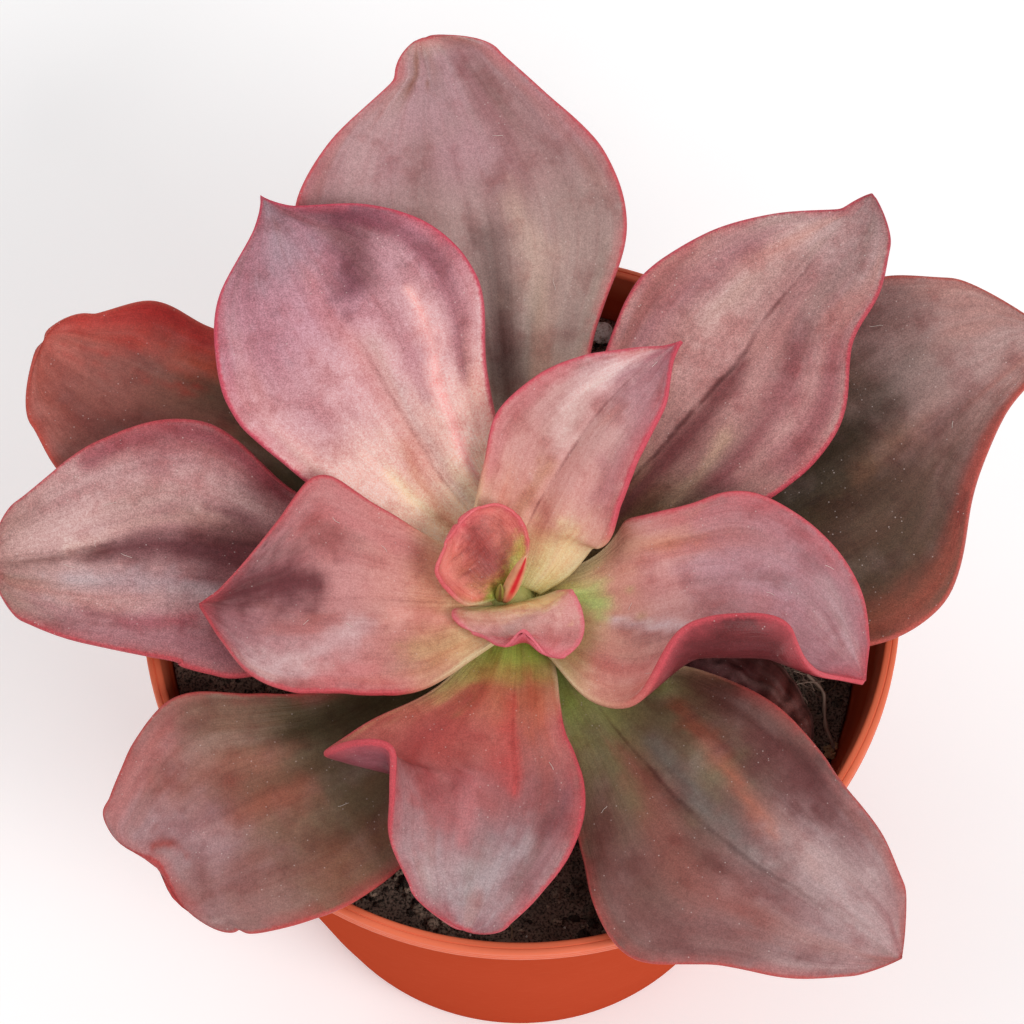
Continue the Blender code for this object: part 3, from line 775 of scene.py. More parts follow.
CREAM = (226, 204, 160)
STREAKS = (
    (3, dye(200, 130, 138), 0.50, 0.70, 0.30, "MULTIPLY"),
    (7, dye(250, 186, 162), 0.52, 0.70, 0.30, "MULTIPLY"),
    (11, dye(200, 210, 196), 0.52, 0.70, 0.30, "MULTIPLY"),
    (15, dye(222, 190, 182), 0.54, 0.74, 0.12, "MIX"),
)


def leaf_skin(name, side, gloss):
    """A leaf's skin under its powdery wax: its painted colour, drawn out lengthwise into maroon, rust,
    grey-green and pale streaks, clouds of thicker wax, tiny grains, specks of dust, and the red line along
    the margin."""
    finish, tree, shader = new_finish(name)
    where = own_place(tree)
    body = painted(tree, side, "Color")
    rim = painted(tree, "rim", "Color")
    margin, powder, crease = (painted(tree, layer) for layer in ("margin", "powder", "crease"))
    uv = shader_node(tree, "UVMap", {}, uv_map="veins").outputs[0]
    grains = mottle(tree, where, 4200, 3, 0.7)
    pores = mottle(tree, where, 1300, 3, 0.6)
    clouds = mottle(tree, where, 110, 3, 0.55)
    blotches = mottle(tree, where, 170, 3, 0.6)

    for far, colour, low, high, most, mode in STREAKS:
        layout = {"Vector": uv, "Location": (0, 0, far), "Scale": (2.6, 5.0, 1)}
        drawn_out = shader_node(tree, "Mapping", layout)
        streak = mottle(tree, drawn_out.outputs[0], 1.0, 2, 0.5)
        body = blended(tree, between(tree, streak, low, high, 0.0, most), body, colour, mode)
    fanned = shader_node(tree, "Mapping", {"Vector": uv, "Scale": (4.0, 44.0, 1.0)}).outputs[0]
    veins = mottle(tree, fanned, 1.0, 3, 0.6)
    body = blended(tree, between(tree, veins, 0.44, 0.68, 0.0, 0.15), body, dye(206, 156, 156), "MULTIPLY")
    # A thin dark line along the midrib furrow: painted shade in the crease, as strong as the crease layer
    # says.
    across = shader_node(tree, "SeparateXYZ", {"Vector": uv}).outputs["Y"]
    swerve = sums(tree, "ADD", across, between(tree, clouds, 0.3, 0.7, -0.506, -0.494))
    line = between(tree, sums(tree, "ABSOLUTE", swerve, 0.0), 0.001, 0.014, 0.8, 0.0)
    line = sums(tree, "MULTIPLY", line, crease)
    line = sums(tree, "MULTIPLY", line, between(tree, blotches, 0.34, 0.60, 0.3, 1.0))
    body = blended(tree, line, body, dye(140, 78, 84), "MULTIPLY")
    flushed = between(tree, blotches, 0.46, 0.70, 0.0, 0.40)
    body = blended(tree, flushed, body, dye(206, 150, 150), "MULTIPLY")
    body = blended(tree, between(tree, clouds, 0.50, 0.76, 0.0, 0.10), body, dye(206, 176, 174))
    body = shader_node(tree, "Gamma", {"Color": body, "Gamma": 1.16}).outputs[0]
    body = blended(tree, 1.0, body, (1.25, 1.31, 1.31, 1.0), "MULTIPLY")

    near_rim = sums(tree, "ADD", margin, between(tree, pores, 0.3, 0.7, -0.12, 0.12))
    flush = between(tree, near_rim, 0.3, 3.0, 0.42, 0.0)
    flush = sums(tree, "MULTIPLY", flush, between(tree, clouds, 0.36, 0.62))
    body = blended(tree, flush, body, rim)
    body = blended(tree, between(tree, near_rim, 0.05, 0.80, 0.88, 0.0), body, rim)

    grain = between(tree, grains, 0.25, 0.75, 0.30, 0.74)
    body = blended(tree, sums(tree, "MULTIPLY", powder, 0.9), body, grain, "OVERLAY")
    body = blended(tree, powder, body, between(tree, pores, 0.25, 0.75, 0.44, 0.57), "OVERLAY")
    cells = shader_node(tree, "TexVoronoi", {"Vector": where, "Scale": 900.0}).outputs["Distance"]
    dusty = between(tree, mottle(tree, where, 210, 2), 0.46, 0.60)
    specks = sums(tree, "MULTIPLY", between(tree, cells, 0.05, 0.14, 0.45, 0.0), dusty)
    specks = sums(tree, "MULTIPLY", specks, sums(tree, "ADD", powder, 0.25))
    body = blended(tree, specks, body, dye(236, 214, 208))
    feed(tree, shader.inputs["Base Color"], body)

    feed(tree, shader.inputs["Roughness"], between(tree, clouds, 0.3, 0.7, gloss, gloss + 0.14))
    shader.inputs["Specular IOR Level"].default_value = 0.28
    fine = sums(tree, "MULTIPLY", sums(tree, "MULTIPLY", grains, 0.3), powder)
    rough = sums(tree, "ADD", fine, sums(tree, "MULTIPLY", veins, 0.6))
    relief(tree, shader, sums(tree, "ADD", rough, sums(tree, "MULTIPLY", pores, 0.2)), 0.00024)
    return finish


def both_sides(name, gloss):
    """The finishes of a leaf's upper face and of its underside."""
    return [leaf_skin(f"{name}_{side}", side, gloss) for side in ("skin", "under")]


dry_finishes = both_sides("dry", 0.62)
grow_blade(
    Blade(
        "dried_leaf", "dry_leaf", -14, point=0.8, thickness=0.45,
        rib=((3, 0, -7.5), (14, 1, -7), (28, 0, -9), (40, 0, -11.5), (50, -3, -12)),
        left=(3, 3.5, 6, 9, 11, 10, 7, 4), right=(3, 3.5, 6, 8, 9, 8, 6, 3),
        curl_left=(20, 60, 70, 60, 40, 60, 70, 50), curl_right=(20, 40, 60, 70, 70, 60, 60, 50),
        wave_left=(1.2, 2.5, 0.2), wave_right=(1.2, 2, 0.6), ridges=(),
        folds=(
            (0.1, 0.9, 0.1, -0.2, -1.0, 0.14), (0.2, 1.0, 0.55, 0.4, 0.8, 0.1),
            (0.3, 0.95, -0.5, -0.6, 0.7, 0.12),
        ),
        along=((0, (66, 42, 34)), (0.4, (70, 34, 34)), (0.7, (84, 40, 38)), (1, (126, 68, 60))),
        strokes=(
            (0.5, 0.3, 0.7, 0.3, 0.3, 0.2, (92, 40, 44), 0.6),
            (0.75, -0.3, 0.85, -0.4, 0.3, 0.3, (30, 14, 14), 0.7),
        ),
        rim=(84, 50, 44), under=((60, 40, 32), (48, 24, 24)), powder=0.7, crumple=3.4, crease=0,
    ),
    dry_finishes,
)

STRAND = (
    (45.8, -9.0, 87.5), (48.2, -11.9, 87.5), (48.4, -14.6, 86.5), (48.7, -16.9, 85.0), (49.7, -18.9, 83.6),
    (50.1, -19.6, 82.4),
)
STRAND_RADIUS = 0.34
STRAND_STEPS = 48
CRUST_LUMPS = 16
TUFT_HAIRS = 16
TUFT_RADIUS = 0.07
TUFT_POINTS = 6
TUFT_STEP = 0.6

strand_places = rib_places(STRAND)
strand_line = []
for k in range(STRAND_STEPS + 1):
    place = rib_point(STRAND, strand_places, k / STRAND_STEPS)
    knob = 1 + 0.5 * noise.noise(Vector((k / 5, 0, 5)))
    strand_line.append((*place, STRAND_RADIUS * knob))
tuft = []
for _ in range(TUFT_HAIRS):
    x, y, z = Vector(STRAND[0]) + Vector([dice.uniform(-2.2, 1.2) for _ in range(3)])
    heading = dice.uniform(-0.9, 0.3)
    hair = []
    for _ in range(TUFT_POINTS):
        hair.append((x, y, z, TUFT_RADIUS * dice.uniform(0.6, 1.3)))
        x += TUFT_STEP * math.cos(heading)
        y += TUFT_STEP * math.sin(heading)
        z += dice.uniform(-0.25, 0.2)
        heading += dice.uniform(-0.5, 0.5)
    tuft.append(hair)
withered = fibre_finish((80, 40, 36), (200, 168, 148))
settle("withered_strand", threads([strand_line, *tuft]), [withered], "dry_leaf")
lumps = []
for _ in range(CRUST_LUMPS):
    away = Vector((dice.gauss(-0.4, 0.6), dice.gauss(-0.6, 0.9), dice.uniform(-0.8, 0.3)))
    lumps.append((Vector(STRAND[-1]) + away, dice.uniform(0.4, 0.8), 0.8, (1, 1, 1, 1)))
settle("dried_crust", strewn(dice, lumps), [fibre_finish((150, 104, 72), (214, 176, 130))], "dry_leaf")


# The outer leaves are the oldest living ones, the lowest on the stem. They are broad and nearly flat, brown
# and olive with orange-red margins, and lie out over the lip of the pot.
LEAF_GREEN = (132, 138, 74)
OLIVE = (104, 90, 62)
DARK_OLIVE = (66, 62, 42)
TAUPE = (190, 158, 150)

brown_finishes = both_sides("brown", 0.48)
OUTER_LEAVES = (
    Blade(
        "leaf_14", "brown_leaf", 150, point=0.6,
        rib=((3, 0, -3.5), (17, -6, -1), (44, -9, 2.5), (70, -5, 5), (88, -3, 8)),
        left=(4, 7, 11, 15.5, 19, 20.5, 20.5, 15), right=(4, 6, 8.5, 10.5, 12.5, 13, 13.5, 7),
        curl_left=(20, 10, 10, 10, 10, 20, 20, 20), curl_right=(20, 10, 10, 10, 20, 30, 30, 30),
        wave_left=(0.8, 2, 0.4), wave_right=(0.8, 2, 0),
        folds=((0.6, 0.95, -0.35, -0.55, -0.5, 0.2), (0.55, 1.0, 0.5, 0.3, 0.5, 0.2)),
        along=(
            (0, DARK_OLIVE), (0.45, (84, 80, 52)), (0.65, (126, 90, 72)), (0.85, (146, 92, 84)),
            (1, (182, 108, 98)),
        ),
        strokes=(
            (0.62, -0.9, 0.95, -0.95, 0.34, 0.4, (176, 36, 34), 0.95),
            (0.84, -0.6, 0.96, -0.6, 0.25, 0.3, (180, 78, 68), 0.6),
            (0.62, -0.55, 0.76, -0.5, 0.16, 0.14, (190, 80, 52), 0.6),
            (0.4, -0.2, 0.64, -0.2, 0.4, 0.26, (72, 60, 42), 0.5),
            (0.7, 0.3, 0.92, 0.5, 0.3, 0.3, (132, 78, 70), 0.6),
        ),
        rim=(184, 72, 60), under=(DARK_OLIVE, (128, 70, 62)),
    ),
    Blade(
        "leaf_13", "brown_leaf", 27, point=0.8,
        rib=((3, 0, -2.4), (20, 0, 1), (44, -4, 4), (65, -4, 7), (97, 1.5, 12)),
        left=(4, 8, 15, 22, 27, 27, 24.5, 17), right=(4, 10.5, 18, 25, 25.5, 13, 6, 4),
        curl_left=(20, 20, 20, 15, 15, 15, 15, 15), curl_right=(20, 15, 10, 10, 10, 10, 10, 10),
        wave_left=(1.2, 2, 0.2), wave_right=(1.2, 2.3, 0.5),
        folds=(
            (0.4, 0.95, 0.45, 0.3, -0.7, 0.2), (0.4, 1.0, -0.4, -0.4, -0.6, 0.2),
            (0.3, 0.9, 0.2, 0.1, 0.6, 0.14),
        ),
        along=(
            (0, DARK_OLIVE), (0.35, (98, 86, 58)), (0.6, (100, 78, 62)), (0.78, (128, 94, 88)),
            (0.92, (168, 132, 128)), (1, (162, 122, 118)),
        ),
        strokes=(
            # A near-black olive band: the shadow of leaf_08's margin, painted on.
            (0.46, 0.1, 0.8, 0.4, 0.22, 0.12, (62, 50, 38), 0.8),
            (0.48, -0.3, 0.72, -0.45, 0.3, 0.2, (92, 64, 52), 0.6),
            (0.6, 0.0, 0.8, 0.1, 0.06, 0.06, (142, 98, 76), 0.4),
            (0.8, 0.3, 0.96, 0.3, 0.3, 0.4, (176, 146, 142), 0.6),
            (0.82, -0.5, 0.95, -0.3, 0.2, 0.3, (150, 112, 106), 0.5),
            (0.66, 0.85, 0.85, 0.85, 0.15, 0.2, (122, 90, 88), 0.5),
            (0.5, -0.88, 0.92, -0.88, 0.12, 0.14, (160, 72, 58), 0.6),
        ),
        rim=(186, 80, 70), rim_width=1.1, under=(OLIVE, (134, 78, 70)), powder=0.8,
    ),
    Blade(
        "leaf_12", "brown_leaf", 218, point=0.4, notch=(2.8, 4.5, 0.5),
        rib=((3, 0, -1), (9, 0.5, 0), (33, 2, 3), (52, -0.8, 4.5), (64, -1.8, 3.5), (70, -1.2, 1)),
        left=(4, 10, 15.5, 19.5, 22, 21.8, 19.5, 16.5), right=(4, 7, 9.5, 11.5, 15.3, 20.5, 18, 13),
        curl_left=(20, 10, 5, 0, 0, 0, 0, 0), curl_right=(20, 15, 15, 15, 15, 10, 0, 0),
        wave_left=(0.8, 2.5, 0.4), wave_right=(0.8, 2, 0.1),
        folds=(
            (0.3, 0.98, 0.0, 0.1, 0.9, 0.12), (0.45, 0.95, -0.4, -0.45, 0.5, 0.1),
            (0.8, 1.0, 0.06, 0.06, -1.2, 0.1),
        ),
        along=(
            (0, (84, 90, 54)), (0.3, (106, 92, 66)), (0.5, (110, 92, 70)), (0.67, (134, 102, 86)),
            (0.85, (150, 110, 106)), (1, (158, 122, 122)),
        ),
        strokes=(
            (0.35, -0.45, 0.54, -0.5, 0.3, 0.18, (88, 76, 54), 0.6),
            (0.4, 0.7, 0.62, 0.75, 0.3, 0.2, (136, 86, 68), 0.6),
            (0.58, 0.1, 0.85, 0.05, 0.1, 0.1, (160, 92, 76), 0.5),
            (0.7, 0.6, 0.88, 0.5, 0.2, 0.3, (144, 100, 94), 0.5),
            (0.62, -0.3, 0.85, -0.4, 0.14, 0.16, (160, 94, 78), 0.45),
            # Pale grey towards the tip: a painted reflection of the lamp.
            (0.86, 0.1, 0.95, -0.4, 0.25, 0.35, (170, 138, 142), 0.6),
            (0.93, -0.05, 0.96, -0.2, 0.06, 0.06, (150, 56, 46), 0.8),
            (0.8, -0.85, 0.95, -0.8, 0.15, 0.15, (190, 114, 110), 0.5),
        ),
        rim=(184, 68, 66), rim_width=1.1, under=(OLIVE, (132, 72, 70)),
    ),
    Blade(
        "leaf_11", "brown_leaf", 97, point=0.6,
        rib=((3, 0, 0), (20, -1, 5), (35, -2, 10), (54, -1.5, 16), (73, 0, 21), (93, 3, 25)),
        left=(4, 8.5, 14.5, 21, 26, 27.5, 19.5, 6), right=(4, 7.5, 12, 17, 24.5, 23.5, 16.5, 11.5),
        curl_left=(20, 20, 20, 20, 20, 20, 20, 10), curl_right=(20, 20, 20, 20, 20, 20, 20, 10),
        wave_left=(1, 2.2, 0.2), wave_right=(1, 2, 0.7),
        folds=(
            (0.25, 0.8, -0.06, -0.1, -1.2, 0.1), (0.3, 0.85, 0.18, 0.14, 0.7, 0.12),
            (0.3, 0.9, -0.3, -0.34, 0.6, 0.14), (0.45, 1.0, 0.5, 0.4, -0.6, 0.2),
            (0.45, 1.0, -0.65, -0.6, -0.6, 0.2),
        ),
        along=(
            (0, (124, 110, 84)), (0.3, (186, 164, 146)), (0.48, (182, 156, 148)), (0.65, (170, 140, 136)),
            (0.8, (174, 134, 138)), (0.95, (174, 138, 142)), (1, TAUPE),
        ),
        strokes=(
            # Dark along the furrow beside the midrib: painted shade.
            (0.4, -0.12, 0.64, -0.1, 0.2, 0.1, (108, 84, 80), 0.7),
            (0.45, -0.75, 0.85, -0.6, 0.25, 0.25, (142, 114, 108), 0.5),
            (0.4, -0.55, 0.68, -0.3, 0.12, 0.08, (194, 164, 150), 0.6),
            (0.55, 0.28, 0.8, 0.22, 0.1, 0.15, (150, 118, 114), 0.5),
            (0.92, 0.45, 0.96, 0.36, 0.1, 0.08, (136, 88, 68), 0.85),
            (0.75, -0.5, 0.92, -0.6, 0.2, 0.3, (158, 114, 114), 0.5),
            (0.6, 0.6, 0.9, 0.7, 0.2, 0.3, (184, 150, 148), 0.5),
        ),
        rim=(204, 78, 86), under=(OLIVE, (142, 86, 84)),
    ),
    Blade(
        "leaf_10", "brown_leaf", -45, point=0.9,
        rib=((3, 0, 2), (8, 2, 4), (23, -2, 7), (43, -5, 11), (56, -4, 10.5), (70, -1, 8), (82, 2, 5)),
        left=(4, 9, 16.5, 21, 21.5, 18.5, 15, 10), right=(4, 7, 10, 17, 24, 16.5, 12, 6.5),
        curl_left=(20, 10, 5, 5, 0, 0, 0, 0), curl_right=(20, 0, 0, -15, -25, -20, -10, 0),
        wave_left=(1, 2, 0.5), wave_right=(0.8, 2, 0),
        folds=(
            (0.12, 0.8, 0.02, 0.04, -0.8, 0.06), (0.2, 0.8, 0.4, 0.42, 0.9, 0.12),
            (0.25, 0.8, -0.35, -0.3, 0.7, 0.12), (0.45, 1.0, 0.62, 0.5, -0.5, 0.15),
        ),
        along=(
            (0, (168, 182, 96)), (0.2, (150, 146, 90)), (0.4, (124, 96, 80)), (0.55, (118, 88, 80)),
            (0.7, (142, 110, 108)), (0.85, (158, 128, 128)), (1, (164, 118, 118)),
        ),
        strokes=(
            (0.08, -0.4, 0.2, -0.45, 0.2, 0.15, (164, 176, 96), 0.75),
            (0.26, 0.4, 0.5, 0.32, 0.2, 0.15, (124, 112, 88), 0.7),
            (0.32, 0.54, 0.68, 0.26, 0.07, 0.06, (172, 100, 78), 0.65),
            (0.32, 0.85, 0.7, 0.75, 0.22, 0.25, (104, 54, 54), 0.8),
            (0.36, 0.16, 0.7, 0.02, 0.09, 0.08, (112, 110, 108), 0.55),
            (0.28, -0.35, 0.44, -0.35, 0.2, 0.12, (116, 108, 76), 0.6),
            (0.36, -0.1, 0.7, -0.4, 0.14, 0.22, (146, 80, 72), 0.5),
            # Pale grey towards the tip: a painted reflection of the lamp.
            (0.74, 0.35, 0.94, 0.1, 0.2, 0.4, (178, 152, 152), 0.7),
            (0.45, -0.75, 0.75, -0.8, 0.2, 0.2, (120, 70, 68), 0.6),
        ),
        rim=(186, 74, 70), under=(LEAF_GREEN, (132, 76, 74)), crease=0.6,
    ),
)
for blade in OUTER_LEAVES:
    grow_blade(blade, brown_finishes)


# The middle leaves are full grown and stand above the outer ones: two long mauve ones to the right and the
# left, then five rose ones, hollow along the middle, with thicker pink-red margins that curl and wave.
mauve_finishes = both_sides("mauve", 0.42)
rose_finishes = both_sides("rose", 0.38)
MIDDLE_LEAVES = (
    Blade(
        "leaf_09", "mauve_leaf", 177, point=0.7,
        rib=((3, -1, 3.4), (20, -6, 5), (51, -10, 8.5), (70, -5, 10), (82, -3, 9)),
        left=(4, 10, 17, 24, 24, 22, 16, 11), right=(4, 5.5, 7.5, 10, 18, 17, 13.5, 9.5),
        curl_left=(20, 10, 10, 15, 20, 20, 15, 10), curl_right=(20, 20, 20, 25, 30, 30, 20, 10),
        wave_left=(0.8, 2, 0.3), wave_right=(0.9, 2.3, 0),
        folds=(
            (0.3, 0.72, -0.05, 0.12, -1.2, 0.16), (0.25, 0.7, 0.42, 0.45, 0.8, 0.12),
            (0.65, 1.0, -0.1, 0.0, -0.7, 0.08),
        ),
        along=(
            (0, OLIVE), (0.25, (134, 96, 88)), (0.42, (162, 112, 112)), (0.6, (184, 140, 140)),
            (0.8, (188, 150, 148)), (1, (166, 126, 120)),
        ),
        strokes=(
            (0.46, 0.08, 0.8, 0.08, 0.32, 0.06, (96, 38, 46), 0.85),
            (0.55, 0.42, 0.85, 0.3, 0.07, 0.1, (180, 164, 168), 0.6),
            (0.5, -0.45, 0.92, -0.25, 0.12, 0.2, (210, 172, 168), 0.6),
            (0.56, -0.18, 0.84, -0.06, 0.06, 0.05, (216, 182, 172), 0.5),
            (0.48, -0.9, 0.75, -0.88, 0.18, 0.14, (138, 52, 66), 0.75),
            (0.58, 0.62, 0.78, 0.72, 0.05, 0.05, (178, 68, 84), 0.5),
            (0.5, 0.8, 0.85, 0.85, 0.22, 0.22, (150, 86, 98), 0.6),
            (0.8, 0.02, 0.96, 0.1, 0.06, 0.06, (122, 80, 74), 0.6),
        ),
        rim=(184, 64, 72), under=(OLIVE, (138, 74, 76)), powder=0.95,
    ),
    Blade(
        "leaf_08", "mauve_leaf", 50, point=0.8,
        rib=((3, 0, 4.5), (14, 0, 7), (30, -1, 11), (52, -2, 16), (68, -1.5, 19), (87.5, -1.7, 21)),
        left=(4, 7, 12, 16.5, 20, 17, 10, 2), right=(4, 7.5, 14, 20, 20.5, 14, 12, 8),
        curl_left=(20, 20, 20, 20, 20, 20, 10, 10), curl_right=(20, 20, 20, 20, 20, 20, 20, 10),
        wave_left=(0.8, 2.2, 0.1), wave_right=(0.8, 2, 0.6),
        folds=(
            (0.12, 0.85, -0.04, 0.0, -1.0, 0.08), (0.12, 0.6, -0.55, -0.62, 0.9, 0.1),
            (0.4, 0.9, 0.6, 0.5, -0.5, 0.15),
        ),
        along=(
            (0, (118, 114, 68)), (0.25, (138, 112, 82)), (0.4, (162, 118, 112)), (0.55, (182, 136, 132)),
            (0.75, (176, 132, 130)), (0.9, (178, 146, 144)), (1, (148, 114, 114)),
        ),
        strokes=(
            (0.24, -0.18, 0.6, -0.06, 0.16, 0.07, (118, 54, 58), 0.85),
            (0.26, -0.64, 0.46, -0.36, 0.07, 0.05, (206, 172, 146), 0.5),
            (0.4, -0.6, 0.68, -0.38, 0.08, 0.14, (142, 64, 76), 0.7),
            (0.5, 0.75, 0.78, 0.62, 0.15, 0.2, (144, 88, 96), 0.6),
            (0.62, 0.35, 0.85, 0.4, 0.16, 0.2, (208, 172, 166), 0.6),
            (0.72, -0.45, 0.92, -0.4, 0.2, 0.25, (158, 126, 126), 0.5),
            (0.5, -0.85, 0.7, -0.8, 0.12, 0.15, (148, 80, 90), 0.6),
        ),
        rim=(190, 60, 76), under=(LEAF_GREEN, (140, 74, 80)), powder=0.95, crease=0.9,
    ),
    Blade(
        "leaf_07", "rose_leaf", 266, point=0.6,
        rib=((3, 1, 6), (9, 1.5, 9.5), (21.5, 2, 15), (33, 3.2, 17), (45, 0, 14.5), (54, -3, 9)),
        left=(4, 6, 7, 8, 10.8, 10.5, 8.3, 5.8), right=(3.5, 8, 14.5, 29.5, 26.5, 19.5, 15, 10.5),
        curl_left=(20, 10, 10, 10, 10, 10, 0, 0), curl_right=(20, 10, 5, 20, 108, 75, 30, 10),
        folds=((0.5, 0.9, 0.3, 0.2, 0.5, 0.2), (0.2, 0.7, -0.25, -0.3, 0.6, 0.12)),
        along=(
            (0, (190, 212, 110)), (0.12, (188, 204, 108)), (0.18, (186, 162, 100)), (0.26, (184, 116, 92)),
            (0.42, (174, 100, 92)), (0.6, (156, 98, 98)), (0.75, (156, 116, 118)), (0.9, (164, 134, 136)),
            (1, (150, 106, 110)),
        ),
        strokes=(
            (0.26, -0.02, 0.6, 0.0, 0.07, 0.06, (190, 68, 66), 0.6),
            (0.6, 0.7, 0.76, 0.3, 0.2, 0.2, (122, 74, 80), 0.65),
            # Pale grey towards the tip: a painted reflection of the lamp.
            (0.72, 0.35, 0.92, -0.15, 0.15, 0.35, (174, 158, 160), 0.65),
            (0.28, -0.45, 0.7, -0.5, 0.2, 0.22, (166, 72, 72), 0.6),
            (0.22, 0.3, 0.34, 0.5, 0.15, 0.3, (198, 110, 86), 0.5),
            (0.45, 0.92, 0.65, 0.95, 0.12, 0.12, (148, 62, 62), 0.6),
            (0.55, -0.25, 0.78, -0.3, 0.06, 0.05, (192, 122, 124), 0.5),
            (0.02, -0.9, 0.25, -0.9, 0.3, 0.2, (200, 198, 124), 0.6),
        ),
        rim=(198, 70, 80), rim_width=1.2, under=((150, 120, 84), (140, 76, 86)), crease=0.3,
    ),
    Blade(
        "leaf_06", "rose_leaf", 120, point=1.4,
        rib=((2, -1, 6.8), (10, -2.5, 11), (24, 0, 17), (54, 1, 25), (74, 3, 27)),
        left=(4, 8, 14.5, 20, 24, 22, 16, 4.5), right=(4, 7.5, 11, 15, 20.5, 19.5, 12.5, 3),
        curl_left=(20, 0, 0, 5, 15, 20, 20, 10), curl_right=(20, 25, 30, 30, 25, 20, 20, 10),
        folds=(
            (0.12, 0.72, -0.25, -0.56, 1.1, 0.09), (0.15, 0.8, 0.0, -0.04, -0.5, 0.04),
            (0.2, 0.75, 0.42, 0.36, 0.5, 0.12), (0.7, 0.95, -0.6, -0.6, -0.9, 0.25),
            (0.3, 0.7, -0.74, -0.78, -0.4, 0.08),
        ),
        along=(
            (0, (232, 216, 172)), (0.2, (234, 206, 178)), (0.35, (228, 186, 176)), (0.55, (214, 166, 168)),
            (0.72, (192, 142, 152)), (0.88, (166, 118, 128)), (1, (146, 108, 116)),
        ),
        strokes=(
            (0.16, 0.45, 0.34, 0.42, 0.14, 0.08, (240, 212, 172), 0.6),
            (0.2, 0.38, 0.38, 0.15, 0.08, 0.06, (204, 132, 104), 0.55),
            # A pale line on the crest of the raised fold: a painted highlight.
            (0.26, -0.42, 0.66, -0.5, 0.08, 0.05, (238, 176, 172), 0.85),
            # Darker just above that fold: painted shade.
            (0.45, -0.28, 0.72, -0.3, 0.06, 0.12, (166, 106, 116), 0.6),
            (0.74, -0.2, 0.88, -0.75, 0.16, 0.28, (104, 44, 58), 0.85),
            # Dark red in the furrow beneath the fold: the leaf's own red, deepened as painted shade.
            (0.46, -0.74, 0.78, -0.8, 0.08, 0.16, (140, 74, 88), 0.65),
            (0.5, 0.55, 0.85, 0.6, 0.2, 0.3, (172, 120, 130), 0.5),
            (0.9, 0.2, 0.98, 0.0, 0.3, 0.3, (168, 148, 156), 0.6),
            (0.22, -0.05, 0.6, -0.06, 0.1, 0.08, (184, 158, 154), 0.5),
        ),
        rim=(204, 66, 88), rim_width=1.0, under=((190, 160, 120), (162, 90, 98)), powder=0.9,
    ),
    Blade(
        "leaf_05", "rose_leaf", -15, point=1.0, sweep_right=(-1.5, 1),
        rib=((2, 0, 7.8), (5, 0.5, 10.6), (17, 1.5, 15.8), (28.5, 6, 19), (42, 8.5, 17), (56.5, 1.5, 10)),
        left=(4, 7.5, 13.2, 13.5, 16, 12, 8.5, 4.5), right=(4, 9.5, 17.5, 18.5, 20, 16.5, 10, 3.5),
        curl_left=(0, 0, 15, 20, 20, 10, 0, 0), curl_right=(20, 10, 20, 140, 172, 155, 115, 60),
        folds=((0.2, 0.6, -0.04, -0.02, 0.35, 0.03), (0.3, 0.8, 0.5, 0.45, -0.4, 0.15)),
        along=(
            (0, (188, 178, 112)), (0.16, (192, 174, 120)), (0.28, (206, 150, 136)), (0.4, (202, 148, 144)),
            (0.55, (176, 124, 126)), (0.7, (172, 126, 132)), (0.85, (162, 116, 122)), (1, (156, 96, 104)),
        ),
        strokes=(
            (0.16, 0.22, 0.22, 0.08, 0.18, 0.14, (170, 200, 118), 0.75),
            (0.26, 0.75, 0.42, 0.65, 0.2, 0.15, (198, 136, 106), 0.6),
            (0.27, -0.14, 0.44, -0.33, 0.05, 0.05, (208, 186, 190), 0.7),
            (0.28, -0.24, 0.42, -0.42, 0.06, 0.05, (148, 86, 86), 0.5),
            (0.5, 0.25, 0.68, 0.15, 0.2, 0.2, (176, 138, 146), 0.6),
            # A pale patch towards the tip: a painted highlight.
            (0.8, 0.45, 0.92, 0.25, 0.15, 0.2, (190, 162, 164), 0.4),
            (0.45, 0.85, 0.75, 0.85, 0.12, 0.12, (170, 100, 104), 0.6),
            (0.26, -0.55, 0.38, -0.75, 0.16, 0.2, (196, 108, 104), 0.6),
        ),
        rim=(206, 76, 86), rim_width=1.3, under=((150, 100, 84), (108, 46, 50)), crease=0,
    ),
    Blade(
        "leaf_04", "rose_leaf", 180, point=1.0,
        rib=((2, 0, 9.5), (3.5, 1, 12), (11, 2, 15.5), (23, 2.5, 18.5), (36, 3.5, 19.5), (48, 4, 19)),
        left=(4, 9.5, 15, 16.5, 16, 15.5, 12, 5.5), right=(4, 8, 11, 15, 19.5, 13, 6.5, 2),
        curl_left=(30, 20, 10, 10, 10, 15, 15, 10), curl_right=(30, 25, 25, 30, 35, 25, 20, 10),
        folds=(
            (0.4, 0.95, -0.02, 0.0, -0.4, 0.05), (0.4, 0.95, 0.45, 0.4, 0.6, 0.2),
            (0.5, 0.95, -0.5, -0.5, -0.5, 0.2),
        ),
        along=(
            (0, (226, 212, 160)), (0.14, (226, 198, 156)), (0.26, (204, 150, 126)), (0.38, (196, 138, 130)),
            (0.55, (190, 134, 132)), (0.75, (172, 122, 124)), (0.9, (154, 104, 108)), (1, (134, 76, 82)),
        ),
        strokes=(
            # A pale band over the left half towards the tip: a painted highlight.
            (0.48, 0.3, 0.8, 0.85, 0.12, 0.18, (206, 176, 176), 0.7),
            (0.62, -0.12, 0.93, -0.4, 0.14, 0.55, (96, 36, 42), 0.9),
            (0.95, 0.5, 0.97, -0.3, 0.12, 0.2, (116, 50, 54), 0.6),
            (0.22, 0.25, 0.36, 0.15, 0.12, 0.12, (226, 162, 152), 0.6),
            (0.22, 0.6, 0.32, 0.55, 0.2, 0.15, (184, 150, 110), 0.6),
            (0.35, -0.7, 0.65, -0.75, 0.25, 0.25, (182, 106, 108), 0.5),
